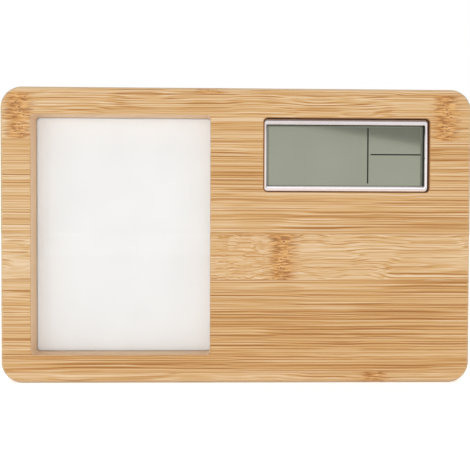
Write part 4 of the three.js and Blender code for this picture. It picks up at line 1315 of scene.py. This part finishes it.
def make_floor():
    bm = bmesh.new()
    bmesh.ops.create_grid(bm, x_segments=1, y_segments=1, size=FLOOR_SIZE)
    floor = add_object("floor", bm)
    g = Graph("floor_paper")
    x, y, _ = g.place()
    pulp = g.grain((0.8, 0.8, 1.0), 3.0)
    glow = g.step(g.length(g.vector(x, y, 0.0)), *GLOW_RANGE)
    seen = g.add("LightPath", output="Is Camera Ray")
    paper = g.surface(
        Base_Color=g.ramp(pulp, ((0.3, grey(0.9)), (0.7, grey(0.92)))),
        Roughness=0.8,
        Specular_IOR_Level=0.2,
        Emission_Color=grey(1.0),
        Emission_Strength=g.choose(seen, GLOW_ROUND, glow),
    )
    floor.data.materials.append(paper)


def make_light(name, place, target, size, radiance):
    """A flat panel of even brightness that faces a target."""
    data = bpy.data.lights.new(name, "AREA")
    data.shape = "RECTANGLE"
    data.size, data.size_y = size
    data.energy = radiance * math.pi * size[0] * size[1]
    light = bpy.data.objects.new(name, data)
    light.location = place
    light.rotation_euler = (Vector(target) - Vector(place)).to_track_quat("-Z", "Y").to_euler()
    light.visible_camera = False
    scene.collection.objects.link(light)
    return light


def make_world():
    """White all round for the camera; the light it gives is softer and fades overhead."""
    g = Graph("studio", bpy.data.worlds, "OutputWorld")
    up = g.parts(g.add("TexCoord", output="Generated"))[2]
    strength = g.step(up, *SKY_FADE, shape="LINEAR")
    light = g.add("Background", {"Color": grey(1.0), "Strength": strength})
    white = g.add("Background", {"Color": grey(1.0), "Strength": 1.0})
    seen = g.add("LightPath", output="Is Camera Ray")
    scene.world = g.blend_shaders(seen, light, white)


def make_studio():
    """Soft panels round the part, and far key panels that don't show in its mirrors."""
    make_floor()
    make_world()
    make_light("top_panel", (0, 0.7, 1.0), (0, 0.7, 0), (2.6, 2.6), 0.75)
    front = make_light("front_panel", (-0.125, -1.0, 0.085), (-0.125, 0, 0.085), (1.2, 0.5), 0.65)
    front.rotation_euler.rotate_axis("Z", FRONT_ROLL)
    front.visible_diffuse = False
    upper = make_light("upper_panel", (0, -0.9, 0.95), PART_TARGET, (1.6, 0.9), 1.0)
    upper.visible_diffuse = False
    make_light("left_panel", (-1.0, -0.45, 0.3), PART_TARGET, (1.0, 0.7), 0.85)
    make_light("right_panel", (1.0, -0.45, 0.3), PART_TARGET, (1.0, 0.7), 0.6)
    keys = (
        ("key_panel", (0.1, -6.0, 0.15), 0.35, 458.0),
        ("left_key_panel", (-3.2, -5.2, 0.15), 1.0, 32.0),
        ("right_key_panel", (3.0, -5.2, 0.15), 1.0, 9.0),
        ("rear_key_panel", (1.0, 6.0, 1.2), 1.0, 130.0),
    )
    for name, place, width, radiance in keys:
        panel = make_light(name, place, KEY_TARGET, (width, KEY_HEIGHT), radiance)
        panel.visible_glossy = False
    scene.view_settings.view_transform = "Standard"


make_camera()
materials = make_materials()
make_block()
make_back_panel()
make_sheets()
make_bezel()
make_display()
make_cover()
make_door()
make_buttons()
make_knob()
make_cover_screws()
make_cell()
make_spring()
for node_name, node_object in frame["nodes"].items():
    node_object.material_slots[0].material = materials[slot_of[node_name]]
make_studio()
